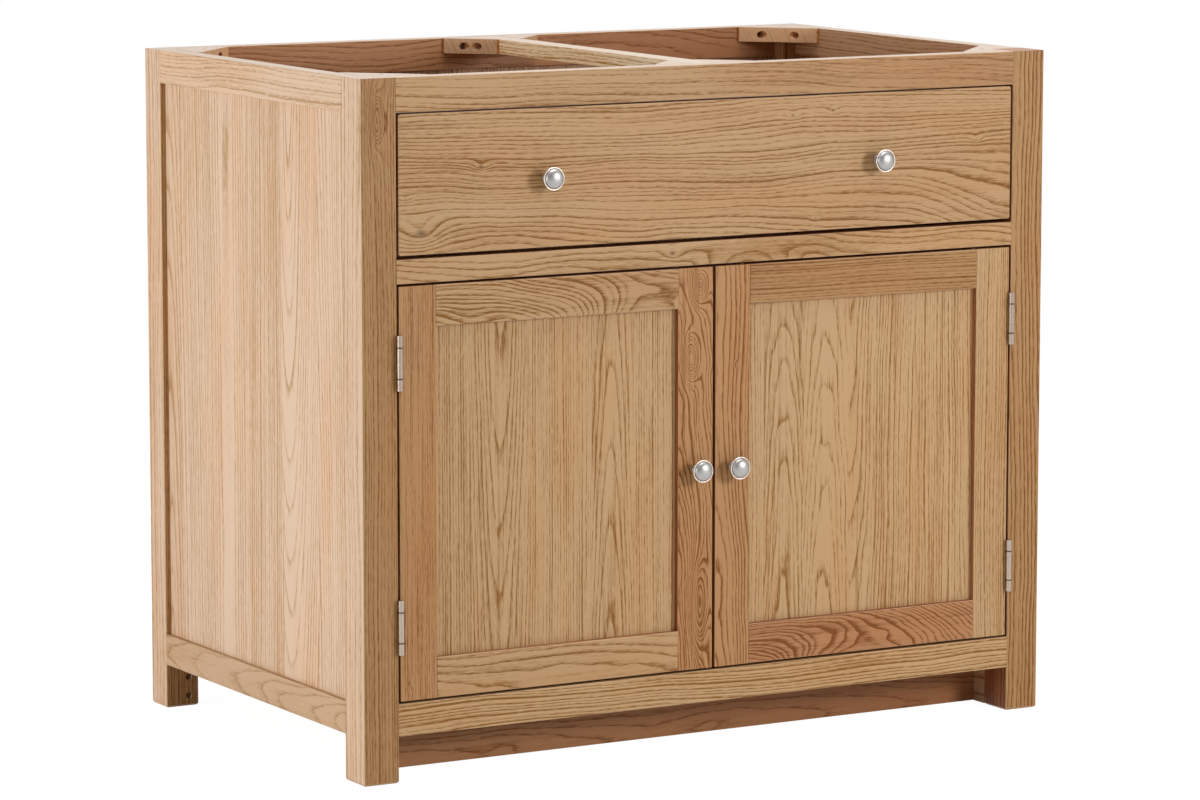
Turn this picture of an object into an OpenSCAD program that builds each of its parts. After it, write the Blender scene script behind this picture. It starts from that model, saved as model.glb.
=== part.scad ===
// Kitchen base cabinet in solid oak: a frame of posts and rails with inset panels,
// one wide drawer over two framed doors, and an open top for a worktop, sink or hob.
// The front looks towards -Y. The origin is on the floor, under the middle of the outline.

/* [Carcass] */
// Width over the posts
body_w = 1000; // [860:1:1200]
// Depth over the posts, without the knobs
body_d = 612; // [540:1:700]
// Height of the frame that carries the worktop
body_h = 870; // [800:1:940]
// Thickness of the frame rails
rail_t = 25; // [22:0.5:30]
// Width of a front post, seen from the front
front_post_w = 48; // [44:1:60]
// Depth of a front post, seen from the side
front_post_d = 51; // [44:1:60]
// Width of a back post
back_post_w = 46; // [42:1:60]
// Depth of a back post
back_post_d = 45; // [42:1:60]
// Clear height under the rails
leg_h = 58; // [50:1:80]
// Radius of the softened edges
arris = 1.2; // [0.5:0.1:2]
// Bevel round the foot of each post
foot_bevel = 2.5; // [1:0.5:5]

/* [Front frame] */
// Height of the top rails
top_rail_h = 43; // [36:1:60]
// Height of the opening for the drawer
drawer_opening_h = 179; // [165:1:220]
// Height of the rail between drawer and doors
mid_rail_h = 30; // [24:1:40]
// Height of the bottom rails
bottom_rail_h = 41; // [36:1:60]

/* [Joinery] */
// Length of the rail tenons
tenon_len = 20; // [12:1:20]
// Thickness of the rail tenons
tenon_t = 9; // [6:0.5:10]
// Depth of the panel grooves in posts and rails
groove_d = 8; // [5:0.5:9]
// Clearance of a tenon in its mortise
tenon_fit = 0.1; // [0.05:0.05:0.3]
// Clearance of a panel in its groove
panel_fit = 0.2; // [0.1:0.05:0.4]
// Clearance of the floor, shelf and blocks round the posts
notch_fit = 0.2; // [0.05:0.05:0.5]

/* [Side and back panels] */
// Thickness of the side panels
side_panel_t = 9; // [6:0.5:10]
// How far the side panels lie behind the rails
side_recess = 7.5; // [5:0.5:9]
// Thickness of the back boards
back_board_t = 9; // [8:0.5:10]
// How far the back boards lie inside the back rails
back_recess = 8; // [5:0.5:9]
// Number of tongued back boards
back_board_n = 10; // [6:1:14]
// Depth of the bevels that make the V between two boards
board_bevel = 2; // [1:0.25:2.5]
// Length of the tongue on a back board
tongue_len = 5; // [3:0.5:7]
// Thickness of the tongue on a back board
tongue_t = 3; // [2:0.25:3.5]

/* [Cross rail and blocks] */
// Width of the rail that runs front to back across the top
cross_rail_w = 32; // [28:1:45]
// Height of the cross rail
cross_rail_h = 20; // [18:1:30]
// Thickness of the screwed blocks
block_t = 20; // [16:1:25]
// Leg of the blocks in the four corners
corner_block_leg = 82; // [74:1:100]
// Leg of the blocks at the ends of the cross rail
cross_block_leg = 56; // [50:1:70]
// Length of the square ends of a block
block_tip = 4; // [2:0.5:6]
// Radius of the screw pockets
pocket_r = 5; // [4.5:0.25:6]
// Wood left under a pocket
pocket_seat = 10; // [8:0.5:12]
// Place of a corner block's pockets along its leg
corner_pocket_at = 59; // [54:1:64]
// Place of a cross rail block's pockets along its leg
cross_pocket_at = 36; // [32:1:40]
// Radius of the holes for fixing the worktop
worktop_hole_r = 2.5; // [2:0.25:3]
// Place of a worktop hole along both legs of its block
worktop_hole_at = 33; // [32:0.5:35]

/* [Plinth and floor] */
// How far the plinth lies behind the front
plinth_setback = 76; // [66:1:110]
// Thickness of the plinth
plinth_t = 18; // [12:1:22]
// Distance of the plinth's ends from the sides
plinth_end = 28; // [26:0.5:32]
// Gap between plinth and floor
plinth_lift = 1; // [0.5:0.5:5]
// Thickness of the cabinet floor
floor_t = 15; // [12:0.5:18]
// Side of the square cleats under floor and shelf
cleat = 20; // [15:1:22]

/* [Shelf] */
// Thickness of the shelf
shelf_t = 18; // [15:1:25]
// Height of the shelf's underside over the cabinet floor
shelf_rise = 241; // [150:1:300]
// How far the shelf's edge lies behind the front
shelf_setback = 150; // [90:1:300]

/* [Drawer] */
// Gap at the ends of the drawer front
drawer_gap = 3; // [2:0.5:4]
// Gap over the drawer front
drawer_over = 2; // [1.5:0.5:4]
// Gap under the drawer front
drawer_under = 4.5; // [3:0.5:6]
// Thickness of the drawer front
drawer_front_t = 22; // [20:1:25]
// Radius of the drawer front's corners
drawer_corner_r = 4; // [1.5:0.5:7]
// Length of the drawer, with its front
drawer_len = 520; // [400:1:525]
// Height of the drawer sides
drawer_side_h = 140; // [110:1:145]
// Thickness of the drawer sides and back
drawer_side_t = 14; // [12:0.5:16]
// Height of the drawer sides over the edge of the front
drawer_side_rise = 7.5; // [5:0.5:12]
// Thickness of the drawer bottom
drawer_bottom_t = 8; // [6:0.5:9]
// Height of the bottom over the lower edge of the sides
drawer_bottom_rise = 10; // [8:0.5:12]
// Depth of the groove for the drawer bottom
drawer_bottom_groove = 5; // [4:0.5:6]
// How far the back is lower than the sides
drawer_back_drop = 8; // [4:0.5:15]
// Number of dovetails at a corner
tail_n = 3; // [3:2:3]
// Width of a dovetail at its root
tail_root = 29; // [26:0.5:30]
// Widening of a dovetail on each side
tail_flare = 2.2; // [1:0.1:3]
// Length of the dovetails in the drawer front
front_tail_len = 14; // [12:0.5:16]
// Clearance in the dovetails
tail_fit = 0.05; // [0.02:0.01:0.1]

/* [Drawer runners] */
// Height of the runner tongue
runner_h = 18; // [14:0.5:20]
// Depth of the runner groove in the drawer sides
runner_groove_d = 8; // [6:0.5:8]
// Clearance over and under the runner tongue
runner_fit = 0.3; // [0.2:0.05:0.5]
// Clearance at the edge of the runner tongue
runner_side_fit = 1; // [0.5:0.1:1.5]
// Height of the rail that carries the tongue
runner_rail_h = 30; // [26:1:40]
// Thickness of the rail that carries the tongue
runner_rail_t = 22; // [16:1:24]
// Length of the tongue on the back post
runner_back_lap = 18; // [14:1:18]

/* [Doors] */
// Gap round the doors
door_gap = 3; // [2.5:0.25:4]
// Gap between the two doors
meeting_gap = 4; // [3:0.25:5]
// Thickness of the door frames
door_t = 22; // [20:0.5:25]
// Width of the door stiles and rails
door_frame_w = 51; // [45:1:60]
// Thickness of the door panels
door_panel_t = 6; // [5:0.5:8]
// How far the door panels lie behind the frames
door_recess = 8; // [6:0.5:9]

/* [Hinges] */
// Height of a hinge
hinge_h = 68; // [60:1:76]
// Width of a leaf behind the front
leaf_w = 20; // [16:0.5:21]
// Thickness of a leaf
leaf_t = 1.6; // [1.2:0.1:1.8]
// Depth that a leaf is let into the wood
leaf_let = 0.6; // [0.4:0.1:0.8]
// Diameter of the knuckles
knuckle_d = 8; // [7:0.25:9]
// Length of the middle knuckle
mid_knuckle_h = 38; // [24:1:42]
// Gap between two knuckles
knuckle_gap = 0.3; // [0.2:0.05:0.5]
// Gap between the knuckles and the front
knuckle_clear = 0.3; // [0.2:0.1:1]
// Diameter of the hinge pin
pin_d = 3.6; // [3:0.1:4]
// Clearance round the pin
pin_fit = 0.05; // [0.02:0.01:0.1]
// Distance from the end of a door to the middle of its hinge
hinge_inset = 93; // [90:1:140]
// Distance between the screws of a leaf
leaf_screw_pitch = 23; // [16:0.5:25]
// How far the screws of a leaf lie behind the front
leaf_screw_in = 12; // [8:0.5:14]

/* [Knobs] */
// How far the knobs stand in front of the cabinet
knob_proj = 26; // [22:0.5:30]
// Diameter of the knob's head
knob_d = 29; // [25:0.5:32]
// Diameter of the knob's foot
knob_foot_d = 15; // [12:0.5:18]
// Diameter of the knob's neck
knob_neck_d = 9; // [8:0.5:11]
// Width of the rim round the dome
knob_rim = 1.7; // [1:0.1:3]
// Height of the dome over the rim
knob_dome = 6; // [4:0.25:8]
// Thickness of the rim
knob_rim_t = 2.6; // [2:0.2:4]
// Bevel on both edges of the rim
knob_bevel = 0.7; // [0.3:0.1:0.9]
// Thickness of the knob's foot
knob_foot_t = 2; // [1:0.25:3]
// Length of the hollow curve from the foot to the neck
knob_waist = 6; // [4:0.5:8]
// Distance of a drawer knob from the middle
drawer_knob_x = 243; // [150:1:350]

/* [Screws and catches] */
// Radius of the wood screws
screw_r = 2; // [1.5:0.1:2.2]
// Radius of the screw heads
screw_head_r = 3.8; // [3.2:0.1:4]
// Depth that the block screws reach into a rail
screw_bite = 12; // [8:0.5:13]
// Length of the hinge and runner screws
fixing_screw_len = 18; // [14:1:20]
// Radial clearance of a screw in its hole
screw_fit = 0.05; // [0.02:0.01:0.1]
// Height of the pan heads of the block screws
pan_head_h = 2.4; // [1.8:0.1:3]
// Radius of the machine screws that hold the knobs
knob_screw_r = 2; // [1.5:0.1:2.5]
// Radius of the heads of the knob screws
knob_screw_head_r = 4; // [3.5:0.25:5]
// Height of the heads of the knob screws
knob_screw_head_h = 2.2; // [1.5:0.1:3]
// Depth that a knob screw reaches into its knob
knob_screw_depth = 10; // [6:0.5:14]
// Width of a magnetic catch
catch_w = 40; // [30:1:46]
// Height of a magnetic catch
catch_h = 42; // [34:1:46]
// Depth of a magnetic catch behind the rail
catch_d = 14; // [10:1:20]
// Thickness of the strike plates
strike_t = 1.2; // [1:0.1:1.5]
// Height of the strike plates
strike_h = 14; // [10:1:16]
// Width of the strike plates
strike_w = 28; // [16:1:30]
// Distance of a catch below the top of the mid rail
catch_drop = 2; // [1:0.5:4]
// Radius of the wall fixing holes in the back legs
wall_hole_r = 2.25; // [1.75:0.25:3]
// Radius of the counterbores of the wall fixing holes
wall_bore_r = 4.5; // [4:0.25:6]
// Depth of the counterbores of the wall fixing holes
wall_bore_d = 8; // [5:0.5:15]
// Height of the lower wall fixing hole
wall_hole_z = 14; // [10:0.5:18]
// Distance between the two wall fixing holes of a leg
wall_hole_pitch = 25; // [20:0.5:30]
// Distance of the wall fixing holes from the leg's inner face
wall_hole_in = 14; // [12:0.5:18]

/* [Hidden] */
$fn = 48;

oak_front = [0.77, 0.59, 0.38];
oak_side = [0.86, 0.70, 0.52];
oak_inside = [0.62, 0.44, 0.28];
oak_end = [0.90, 0.80, 0.66];
nickel = [0.76, 0.75, 0.73];
steel = [0.55, 0.55, 0.56];
catch_brown = [0.30, 0.20, 0.14];

// How far a cutting tool runs past a face
past = 1;

// Main planes
half_w = body_w / 2;
face_y = (knob_proj - body_d) / 2;
back_y = face_y + body_d;
open_x = half_w - front_post_w;
back_open_x = half_w - back_post_w;
inner_x = half_w - rail_t;
front_in_y = face_y + rail_t;
back_in_y = back_y - rail_t;
post_front_y = face_y + front_post_d;
post_back_y = back_y - back_post_d;

// Levels of the frame
bottom_rail_z = leg_h;
door_sill_z = bottom_rail_z + bottom_rail_h;
top_rail_z = body_h - top_rail_h;
drawer_sill_z = top_rail_z - drawer_opening_h;
mid_rail_z = drawer_sill_z - mid_rail_h;
front_rails = [
  [bottom_rail_z, bottom_rail_h],
  [mid_rail_z, mid_rail_h],
  [top_rail_z, top_rail_h],
];
outer_rails = [[bottom_rail_z, bottom_rail_h], [top_rail_z, top_rail_h]];
tenon_shoulder = groove_d + 1;

// Panels
panel_foot_z = door_sill_z - groove_d;
panel_h = top_rail_z - door_sill_z + 2 * groove_d - panel_fit;
side_panel_x = half_w - side_recess - side_panel_t;
back_board_y = back_y - back_recess - back_board_t;
back_boards_w = 2 * (back_open_x + groove_d - panel_fit);
tongue_mid = (back_board_t + board_bevel) / 2;

// Blocks under the worktop: corner, turn
cross_x = cross_rail_w / 2;
corner_places = [
  [-inner_x, front_in_y, 0],
  [inner_x, front_in_y, 90],
  [inner_x, back_in_y, 180],
  [-inner_x, back_in_y, 270],
];
cross_places = [
  [cross_x, front_in_y, 0],
  [-cross_x, front_in_y, 90],
  [-cross_x, back_in_y, 180],
  [cross_x, back_in_y, 270],
];

// Floor and shelf
floor_z = door_sill_z - floor_t;
plinth_y = face_y + plinth_setback;
plinth_top = floor_z - cleat;
shelf_z = door_sill_z + shelf_rise;

// Drawer
drawer_x = open_x - drawer_gap;
drawer_front_z = drawer_sill_z + drawer_under;
drawer_front_h = drawer_opening_h - drawer_under - drawer_over;
drawer_side_z = drawer_front_z + drawer_side_rise;
drawer_inner_y = face_y + drawer_front_t;
drawer_end_y = face_y + drawer_len;
drawer_bottom_z = drawer_side_z + drawer_bottom_rise;
runner_z = drawer_side_z + drawer_side_h / 2;
runner_tip_x = drawer_x - runner_groove_d + runner_side_fit;
runner_end_y = post_back_y + runner_back_lap;

// Doors
door_z = door_sill_z + door_gap;
door_h = mid_rail_z - door_gap - door_z;
door_x = open_x - door_gap;
meeting_x = meeting_gap / 2;
door_panel_y = face_y + door_recess;
knob_z = door_z + door_h / 2;
door_knob_x = meeting_x + door_frame_w / 2;
drawer_knob_z = drawer_front_z + drawer_front_h / 2;

catch_low_z = mid_rail_z + mid_rail_h - catch_drop - catch_h;

// Hinges: the pin stands in front of the gap between post and door
pin_x = open_x - door_gap / 2;
pin_y = face_y - knuckle_clear - knuckle_d / 2;
leaf_inset = door_gap / 2 + leaf_let;
hinge_zs = [door_z + hinge_inset, door_z + door_h - hinge_inset];
end_knuckle_h = (hinge_h - mid_knuckle_h) / 2 - knuckle_gap;
leaf_screw_y = face_y + leaf_screw_in;

// Points of a rectangle whose corners are rounded with radius r
function soft_rect(w, d, r) = [
  for (corner = [[w - r, d - r, 0], [r, d - r, 90], [r, r, 180], [w - r, r, 270]])
    for (turn = [0:30:90])
      [corner.x + r * cos(corner.z + turn), corner.y + r * sin(corner.z + turn)]
];

// Bars with softened edges along their length, from their lowest corner
module bar_x(size) {
  rotate([90, 0, 90])
    linear_extrude(size.x) polygon(soft_rect(size.y, size.z, arris));
}

module bar_y(size) {
  translate([0, size.y, 0])
    rotate([90, 0, 0])
      linear_extrude(size.y) polygon(soft_rect(size.x, size.z, arris));
}

module bar_z(size) {
  linear_extrude(size.z) polygon(soft_rect(size.x, size.y, arris));
}

// Upright board whose long and cross edges are softened and whose corners are rounded
module soft_board(size, corner_r) {
  intersection() {
    bar_x(size);
    bar_z(size);
    translate([0, size.y, 0])
      rotate([90, 0, 0])
        linear_extrude(size.y) polygon(soft_rect(size.x, size.z, corner_r));
  }
}

// Box between two corners
module block_between(low, high) {
  translate(low) cube(high - low);
}

// Mirror image on the right side of the cabinet
module on_the_right() {
  mirror([1, 0, 0]) children();
}

module on_both_sides() {
  children();
  on_the_right() children();
}

// Tenons at both ends of a rail along X, or their mortises when grow is set
module tenons_x(span_x, mid_y, rail, grow = 0) {
  length = tenon_len + grow + past;
  height = rail[1] - 2 * tenon_shoulder + 2 * grow;
  on_both_sides()
    translate([-span_x + past - length, mid_y - tenon_t / 2 - grow, rail[0] + tenon_shoulder - grow])
      cube([length, tenon_t + 2 * grow, height]);
}

// Tenons at both ends of a rail along Y, or their mortises when grow is set
module tenons_y(mid_x, rail, grow = 0) {
  length = tenon_len + grow + past;
  height = rail[1] - 2 * tenon_shoulder + 2 * grow;
  for (y = [post_front_y + past - length, post_back_y - past])
    translate([mid_x - tenon_t / 2 - grow, y, rail[0] + tenon_shoulder - grow])
      cube([tenon_t + 2 * grow, length, height]);
}

// Space of the left side panel in the grooves round it
module side_panel_space(grow) {
  block_between(
    [-side_panel_x - side_panel_t - grow, post_front_y - groove_d, panel_foot_z],
    [-side_panel_x + grow, post_back_y + groove_d, panel_foot_z + panel_h + grow]);
}

// Space of the back boards in the grooves round them
module back_board_space() {
  reach = back_open_x + groove_d;
  block_between(
    [-reach, back_board_y - panel_fit, panel_foot_z],
    [reach, back_board_y + back_board_t + panel_fit, panel_foot_z + panel_h + panel_fit]);
}

// Left post with a bevelled foot, from its outer corner
module post_blank(w, d) {
  intersection() {
    bar_z([w, d, body_h]);
    hull() {
      translate([foot_bevel, foot_bevel, 0]) cube([w - 2 * foot_bevel, d - 2 * foot_bevel, past]);
      translate([0, 0, foot_bevel]) cube([w, d, body_h]);
    }
  }
}

module left_front_post() {
  difference() {
    translate([-half_w, face_y, 0]) post_blank(front_post_w, front_post_d);
    for (rail = front_rails) tenons_x(open_x, face_y + rail_t / 2, rail, tenon_fit);
    for (rail = outer_rails) tenons_y(-half_w + rail_t / 2, rail, tenon_fit);
    side_panel_space(panel_fit);
    leaf_recess(-open_x - leaf_let);
    leaf_screws(-1, screw_fit);
    runner_screw_pair(screw_fit);
  }
}

module left_back_post() {
  difference() {
    translate([-half_w, post_back_y, 0]) post_blank(back_post_w, back_post_d);
    for (rail = outer_rails) {
      tenons_x(back_open_x, back_y - rail_t / 2, rail, tenon_fit);
      tenons_y(-half_w + rail_t / 2, rail, tenon_fit);
    }
    side_panel_space(panel_fit);
    back_board_space();
    wall_fixing_holes();
    runner_screw_pair(screw_fit);
  }
}

// Counterbored holes through a back leg, for screws into a wall or batten
module wall_fixing_holes() {
  for (z = [wall_hole_z, wall_hole_z + wall_hole_pitch])
    translate([-back_open_x - wall_hole_in, post_back_y - past, z])
      rotate([-90, 0, 0]) {
        cylinder(h = back_post_d + 2 * past, r = wall_hole_r);
        cylinder(h = wall_bore_d + past, r = wall_bore_r);
      }
}

module front_left_post() {
  color(oak_side) left_front_post();
}

module front_right_post() {
  color(oak_front) on_the_right() left_front_post();
}

module back_left_post() {
  color(oak_side) left_back_post();
}

module back_right_post() {
  color(oak_front) on_the_right() left_back_post();
}

module front_rail(rail) {
  color(oak_front)
    difference() {
      union() {
        translate([-open_x, face_y, rail[0]]) bar_x([2 * open_x, rail_t, rail[1]]);
        tenons_x(open_x, face_y + rail_t / 2, rail);
      }
      block_screw_set(screw_fit);
    }
}

module front_top_rail() {
  front_rail(front_rails[2]);
}

module front_mid_rail() {
  front_rail(front_rails[1]);
}

module front_bottom_rail() {
  front_rail(front_rails[0]);
}

module left_rail(rail) {
  difference() {
    union() {
      translate([-half_w, post_front_y, rail[0]]) bar_y([rail_t, post_back_y - post_front_y, rail[1]]);
      tenons_y(-half_w + rail_t / 2, rail);
    }
    side_panel_space(panel_fit);
    block_screw_set(screw_fit);
  }
}

module left_top_rail() {
  color(oak_side) left_rail(outer_rails[1]);
}

module left_bottom_rail() {
  color(oak_side) left_rail(outer_rails[0]);
}

module right_top_rail() {
  color(oak_front) on_the_right() left_rail(outer_rails[1]);
}

module right_bottom_rail() {
  color(oak_front) on_the_right() left_rail(outer_rails[0]);
}

module back_rail(rail) {
  color(oak_inside)
    difference() {
      union() {
        translate([-back_open_x, back_in_y, rail[0]]) bar_x([2 * back_open_x, rail_t, rail[1]]);
        tenons_x(back_open_x, back_y - rail_t / 2, rail);
      }
      back_board_space();
      block_screw_set(screw_fit);
    }
}

module back_top_rail() {
  back_rail(outer_rails[1]);
}

module back_bottom_rail() {
  back_rail(outer_rails[0]);
}

// The panels stand on the bottom of their grooves and are free to move sideways
module side_panel() {
  block_between(
    [-side_panel_x - side_panel_t, post_front_y - groove_d + panel_fit, panel_foot_z],
    [-side_panel_x, post_back_y + groove_d - panel_fit, panel_foot_z + panel_h]);
}

module left_side_panel() {
  color(oak_side) side_panel();
}

module right_side_panel() {
  color(oak_side) on_the_right() side_panel();
}

// Outline of one back board, seen from above: bevelled on the inner face,
// with a tongue on its right edge and a groove on its left edge
function back_board_outline(w, tongued, grooved) = [
  [board_bevel, 0],
  [w - board_bevel, 0],
  [w, board_bevel],
  each tongued ? [
    [w, tongue_mid - tongue_t / 2],
    [w + tongue_len, tongue_mid - tongue_t / 2],
    [w + tongue_len, tongue_mid + tongue_t / 2],
    [w, tongue_mid + tongue_t / 2],
  ] : [],
  [w, back_board_t],
  [0, back_board_t],
  each grooved ? [
    [0, tongue_mid + tongue_t / 2 + panel_fit],
    [tongue_len + panel_fit, tongue_mid + tongue_t / 2 + panel_fit],
    [tongue_len + panel_fit, tongue_mid - tongue_t / 2 - panel_fit],
    [0, tongue_mid - tongue_t / 2 - panel_fit],
  ] : [],
  [0, board_bevel],
];
module back_boards() {
  pitch = back_boards_w / back_board_n;
  color(oak_inside)
    for (i = [0:back_board_n - 1])
      translate([-back_boards_w / 2 + i * pitch, back_board_y, panel_foot_z])
        linear_extrude(panel_h)
          polygon(back_board_outline(pitch, i < back_board_n - 1, i > 0));
}

module cross_rail() {
  color(oak_end)
    difference() {
      translate([-cross_x, front_in_y, body_h - cross_rail_h])
        bar_y([cross_rail_w, back_in_y - front_in_y, cross_rail_h]);
      block_screw_set(screw_fit);
    }
}

// Triangular block with square tips, its right angle at the origin and its top at z = 0
module block_blank(leg, pocket_at) {
  difference() {
    translate([0, 0, -block_t])
      linear_extrude(block_t)
        polygon([[0, 0], [leg, 0], [leg, block_tip], [block_tip, leg], [0, leg]]);
    for (swap = [0, 1]) swapped(swap) {
      translate([pocket_at, pocket_seat, -block_t / 2])
        rotate([-90, 0, 0]) cylinder(h = leg, r = pocket_r);
      translate([pocket_at, -past, -block_t / 2])
        rotate([-90, 0, 0]) cylinder(h = pocket_seat + 2 * past, r = screw_r + screw_fit);
    }
  }
}

// Exchanges X and Y when swap is 1
module swapped(swap) {
  if (swap == 1) mirror([1, -1, 0]) children();
  else children();
}

module placed(place) {
  translate([place[0], place[1], body_h]) rotate(place[2]) children();
}

module corner_blocks() {
  color(oak_end)
    for (place = corner_places)
      difference() {
        placed(place)
          difference() {
            block_blank(corner_block_leg, corner_pocket_at);
            translate([worktop_hole_at, worktop_hole_at, -block_t - past])
              cylinder(h = block_t + 2 * past, r = worktop_hole_r);
          }
        post_spaces(notch_fit);
      }
}

// The four posts with room round them, for the pieces that are notched for them
module post_spaces(room) {
  on_both_sides() {
    block_between(
      [-half_w, face_y, 0],
      [-open_x + room, post_front_y + room, body_h + past]);
    block_between(
      [-half_w, post_back_y - room, 0],
      [-back_open_x + room, back_y, body_h + past]);
  }
}

module cross_rail_blocks() {
  color(oak_end)
    for (place = cross_places) placed(place) block_blank(cross_block_leg, cross_pocket_at);
}

// Pan head screw from the bottom of a pocket into the rail behind the block
module pocket_screw(grow) {
  rotate([-90, 0, 0]) {
    translate([0, 0, -screw_bite - pocket_seat - grow])
      cylinder(h = screw_bite + pocket_seat + grow + past, r = screw_r + grow);
    cylinder(h = pan_head_h, r = screw_head_r);
  }
}

module block_screw_pair(pocket_at, grow) {
  for (swap = [0, 1])
    swapped(swap) translate([pocket_at, pocket_seat, -block_t / 2]) pocket_screw(grow);
}

module block_screw_set(grow) {
  for (place = corner_places) placed(place) block_screw_pair(corner_pocket_at, grow);
  for (place = cross_places) placed(place) block_screw_pair(cross_pocket_at, grow);
}

module block_screws() {
  color(steel) block_screw_set(0);
}

// The floor fills the frame and is notched round the posts
module cabinet_floor() {
  color(oak_front)
    difference() {
      block_between(
        [-inner_x + notch_fit, front_in_y, floor_z],
        [inner_x - notch_fit, back_in_y - notch_fit, door_sill_z]);
      post_spaces(notch_fit);
    }
}

module floor_cleats() {
  color(oak_inside) {
    on_both_sides()
      block_between(
        [-inner_x, post_front_y, floor_z - cleat],
        [-inner_x + cleat, post_back_y, floor_z]);
    block_between(
      [-back_open_x + cleat, back_in_y - cleat, floor_z - cleat],
      [back_open_x - cleat, back_in_y, floor_z]);
  }
}

module plinth() {
  color(oak_inside)
    translate([-half_w + plinth_end, plinth_y, plinth_lift])
      bar_x([body_w - 2 * plinth_end, plinth_t, plinth_top - plinth_lift]);
}

// Blocks behind the front legs that carry the plinth
module plinth_blocks() {
  color(oak_inside)
    on_both_sides()
      block_between(
        [-half_w + plinth_end, post_front_y, plinth_lift],
        [-open_x, plinth_y, leg_h]);
}

module shelf() {
  reach = side_panel_x - notch_fit;
  color(oak_front)
    difference() {
      translate([-reach, face_y + shelf_setback, shelf_z])
        bar_x([2 * reach, back_board_y - notch_fit - face_y - shelf_setback, shelf_t]);
      post_spaces(notch_fit);
    }
}

module shelf_cleats() {
  color(oak_inside)
    on_both_sides()
      block_between(
        [-side_panel_x, post_front_y, shelf_z - cleat],
        [-side_panel_x + cleat, post_back_y, shelf_z]);
}

// A rail between the posts with a tongue that the grooved drawer side slides on.
// The drawer front closes against the front end of the tongue.
module left_runner() {
  difference() {
    union() {
      block_between(
        [-open_x - runner_rail_t, post_front_y, runner_z - runner_rail_h / 2],
        [-open_x, post_back_y, runner_z + runner_rail_h / 2]);
      block_between(
        [-back_open_x - past, drawer_inner_y + runner_fit, runner_z - runner_h / 2 + runner_fit],
        [-runner_tip_x, runner_end_y, runner_z + runner_h / 2 - runner_fit]);
    }
    post_spaces(0);
    runner_screw_pair(screw_fit);
  }
}

module drawer_runners() {
  color(oak_inside) on_both_sides() left_runner();
}

// Countersunk screw along +Z, its head flush with z = 0
module flat_screw(length, grow) {
  translate([0, 0, -length - grow]) cylinder(h = length + grow, r = screw_r + grow);
  translate([0, 0, -screw_head_r + screw_r])
    cylinder(h = screw_head_r - screw_r, r1 = screw_r + grow, r2 = screw_head_r + grow);
}

// Screws through the left runner's tongue into both posts
module runner_screw_pair(grow) {
  for (y = [(drawer_inner_y + post_front_y) / 2, post_back_y + runner_back_lap / 2])
    translate([-runner_tip_x, y, runner_z])
      rotate([0, 90, 0]) flat_screw(fixing_screw_len + open_x - runner_tip_x, grow);
}

module runner_screws() {
  color(steel) on_both_sides() runner_screw_pair(0);
}

// Outline of the dovetails, seen from the side: length along X, height along Y.
// The narrow root lies at x = 0 and the tails widen towards x = length.
module tail_outline(length, grow) {
  pitch = drawer_side_h / tail_n;
  for (i = [0:tail_n - 1])
    translate([0, (i + 0.5) * pitch])
      polygon([
        [-past, -tail_root / 2 - grow],
        [0, -tail_root / 2 - grow],
        [length, -tail_root / 2 - tail_flare - grow],
        [length, tail_root / 2 + tail_flare + grow],
        [0, tail_root / 2 + grow],
        [-past, tail_root / 2 + grow],
      ]);
}

// Tails of the left drawer side, standing in the plane of the side.
// dir is -1 at the front end and 1 at the back end.
module side_tails(root_y, dir, length, grow) {
  turn = dir < 0 ? [90, 0, 270] : [90, 0, 90];
  shift = dir < 0 ? drawer_side_t : 0;
  translate([-drawer_x + shift, root_y, drawer_side_z])
    rotate(turn)
      translate([0, 0, -grow])
        linear_extrude(drawer_side_t + 2 * grow) tail_outline(length + grow, grow);
}

module left_drawer_side() {
  back_root_y = drawer_end_y - drawer_side_t;
  difference() {
    union() {
      block_between(
        [-drawer_x, drawer_inner_y, drawer_side_z],
        [-drawer_x + drawer_side_t, back_root_y, drawer_side_z + drawer_side_h]);
      side_tails(drawer_inner_y, -1, front_tail_len, 0);
      side_tails(back_root_y, 1, drawer_side_t, 0);
    }
    block_between(
      [-drawer_x - past, drawer_inner_y, runner_z - runner_h / 2],
      [-drawer_x + runner_groove_d, drawer_end_y + past, runner_z + runner_h / 2]);
    drawer_bottom_space(tail_fit);
  }
}

// Space of the drawer bottom in the grooves of the front and sides
module drawer_bottom_space(grow) {
  reach = drawer_x - drawer_side_t + drawer_bottom_groove;
  block_between(
    [-reach - grow, drawer_inner_y - drawer_bottom_groove - grow, drawer_bottom_z - grow],
    [reach + grow, drawer_end_y + grow, drawer_bottom_z + drawer_bottom_t + grow]);
}

module drawer_left_side() {
  color(oak_inside) left_drawer_side();
}

module drawer_right_side() {
  color(oak_inside) on_the_right() left_drawer_side();
}

module drawer_front() {
  color(oak_front)
    difference() {
      translate([-drawer_x, face_y, drawer_front_z])
        soft_board([2 * drawer_x, drawer_front_t, drawer_front_h], drawer_corner_r);
      on_both_sides() side_tails(drawer_inner_y, -1, front_tail_len, tail_fit);
      drawer_bottom_space(tail_fit);
      for (side = [-1, 1]) knob_hole(side * drawer_knob_x, drawer_knob_z);
    }
}

// The back stands on the bottom and its ends are cut out round the tails of the sides
module drawer_back() {
  back_root_y = drawer_end_y - drawer_side_t;
  color(oak_inside)
    difference() {
      block_between(
        [-drawer_x, back_root_y, drawer_bottom_z + drawer_bottom_t + tail_fit],
        [drawer_x, drawer_end_y, drawer_side_z + drawer_side_h - drawer_back_drop]);
      on_both_sides() side_tails(back_root_y, 1, drawer_side_t, tail_fit);
    }
}

module drawer_bottom() {
  color(oak_inside) drawer_bottom_space(0);
}

module left_door_stile(x) {
  translate([x, face_y, door_z]) bar_z([door_frame_w, door_t, door_h]);
}

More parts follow.
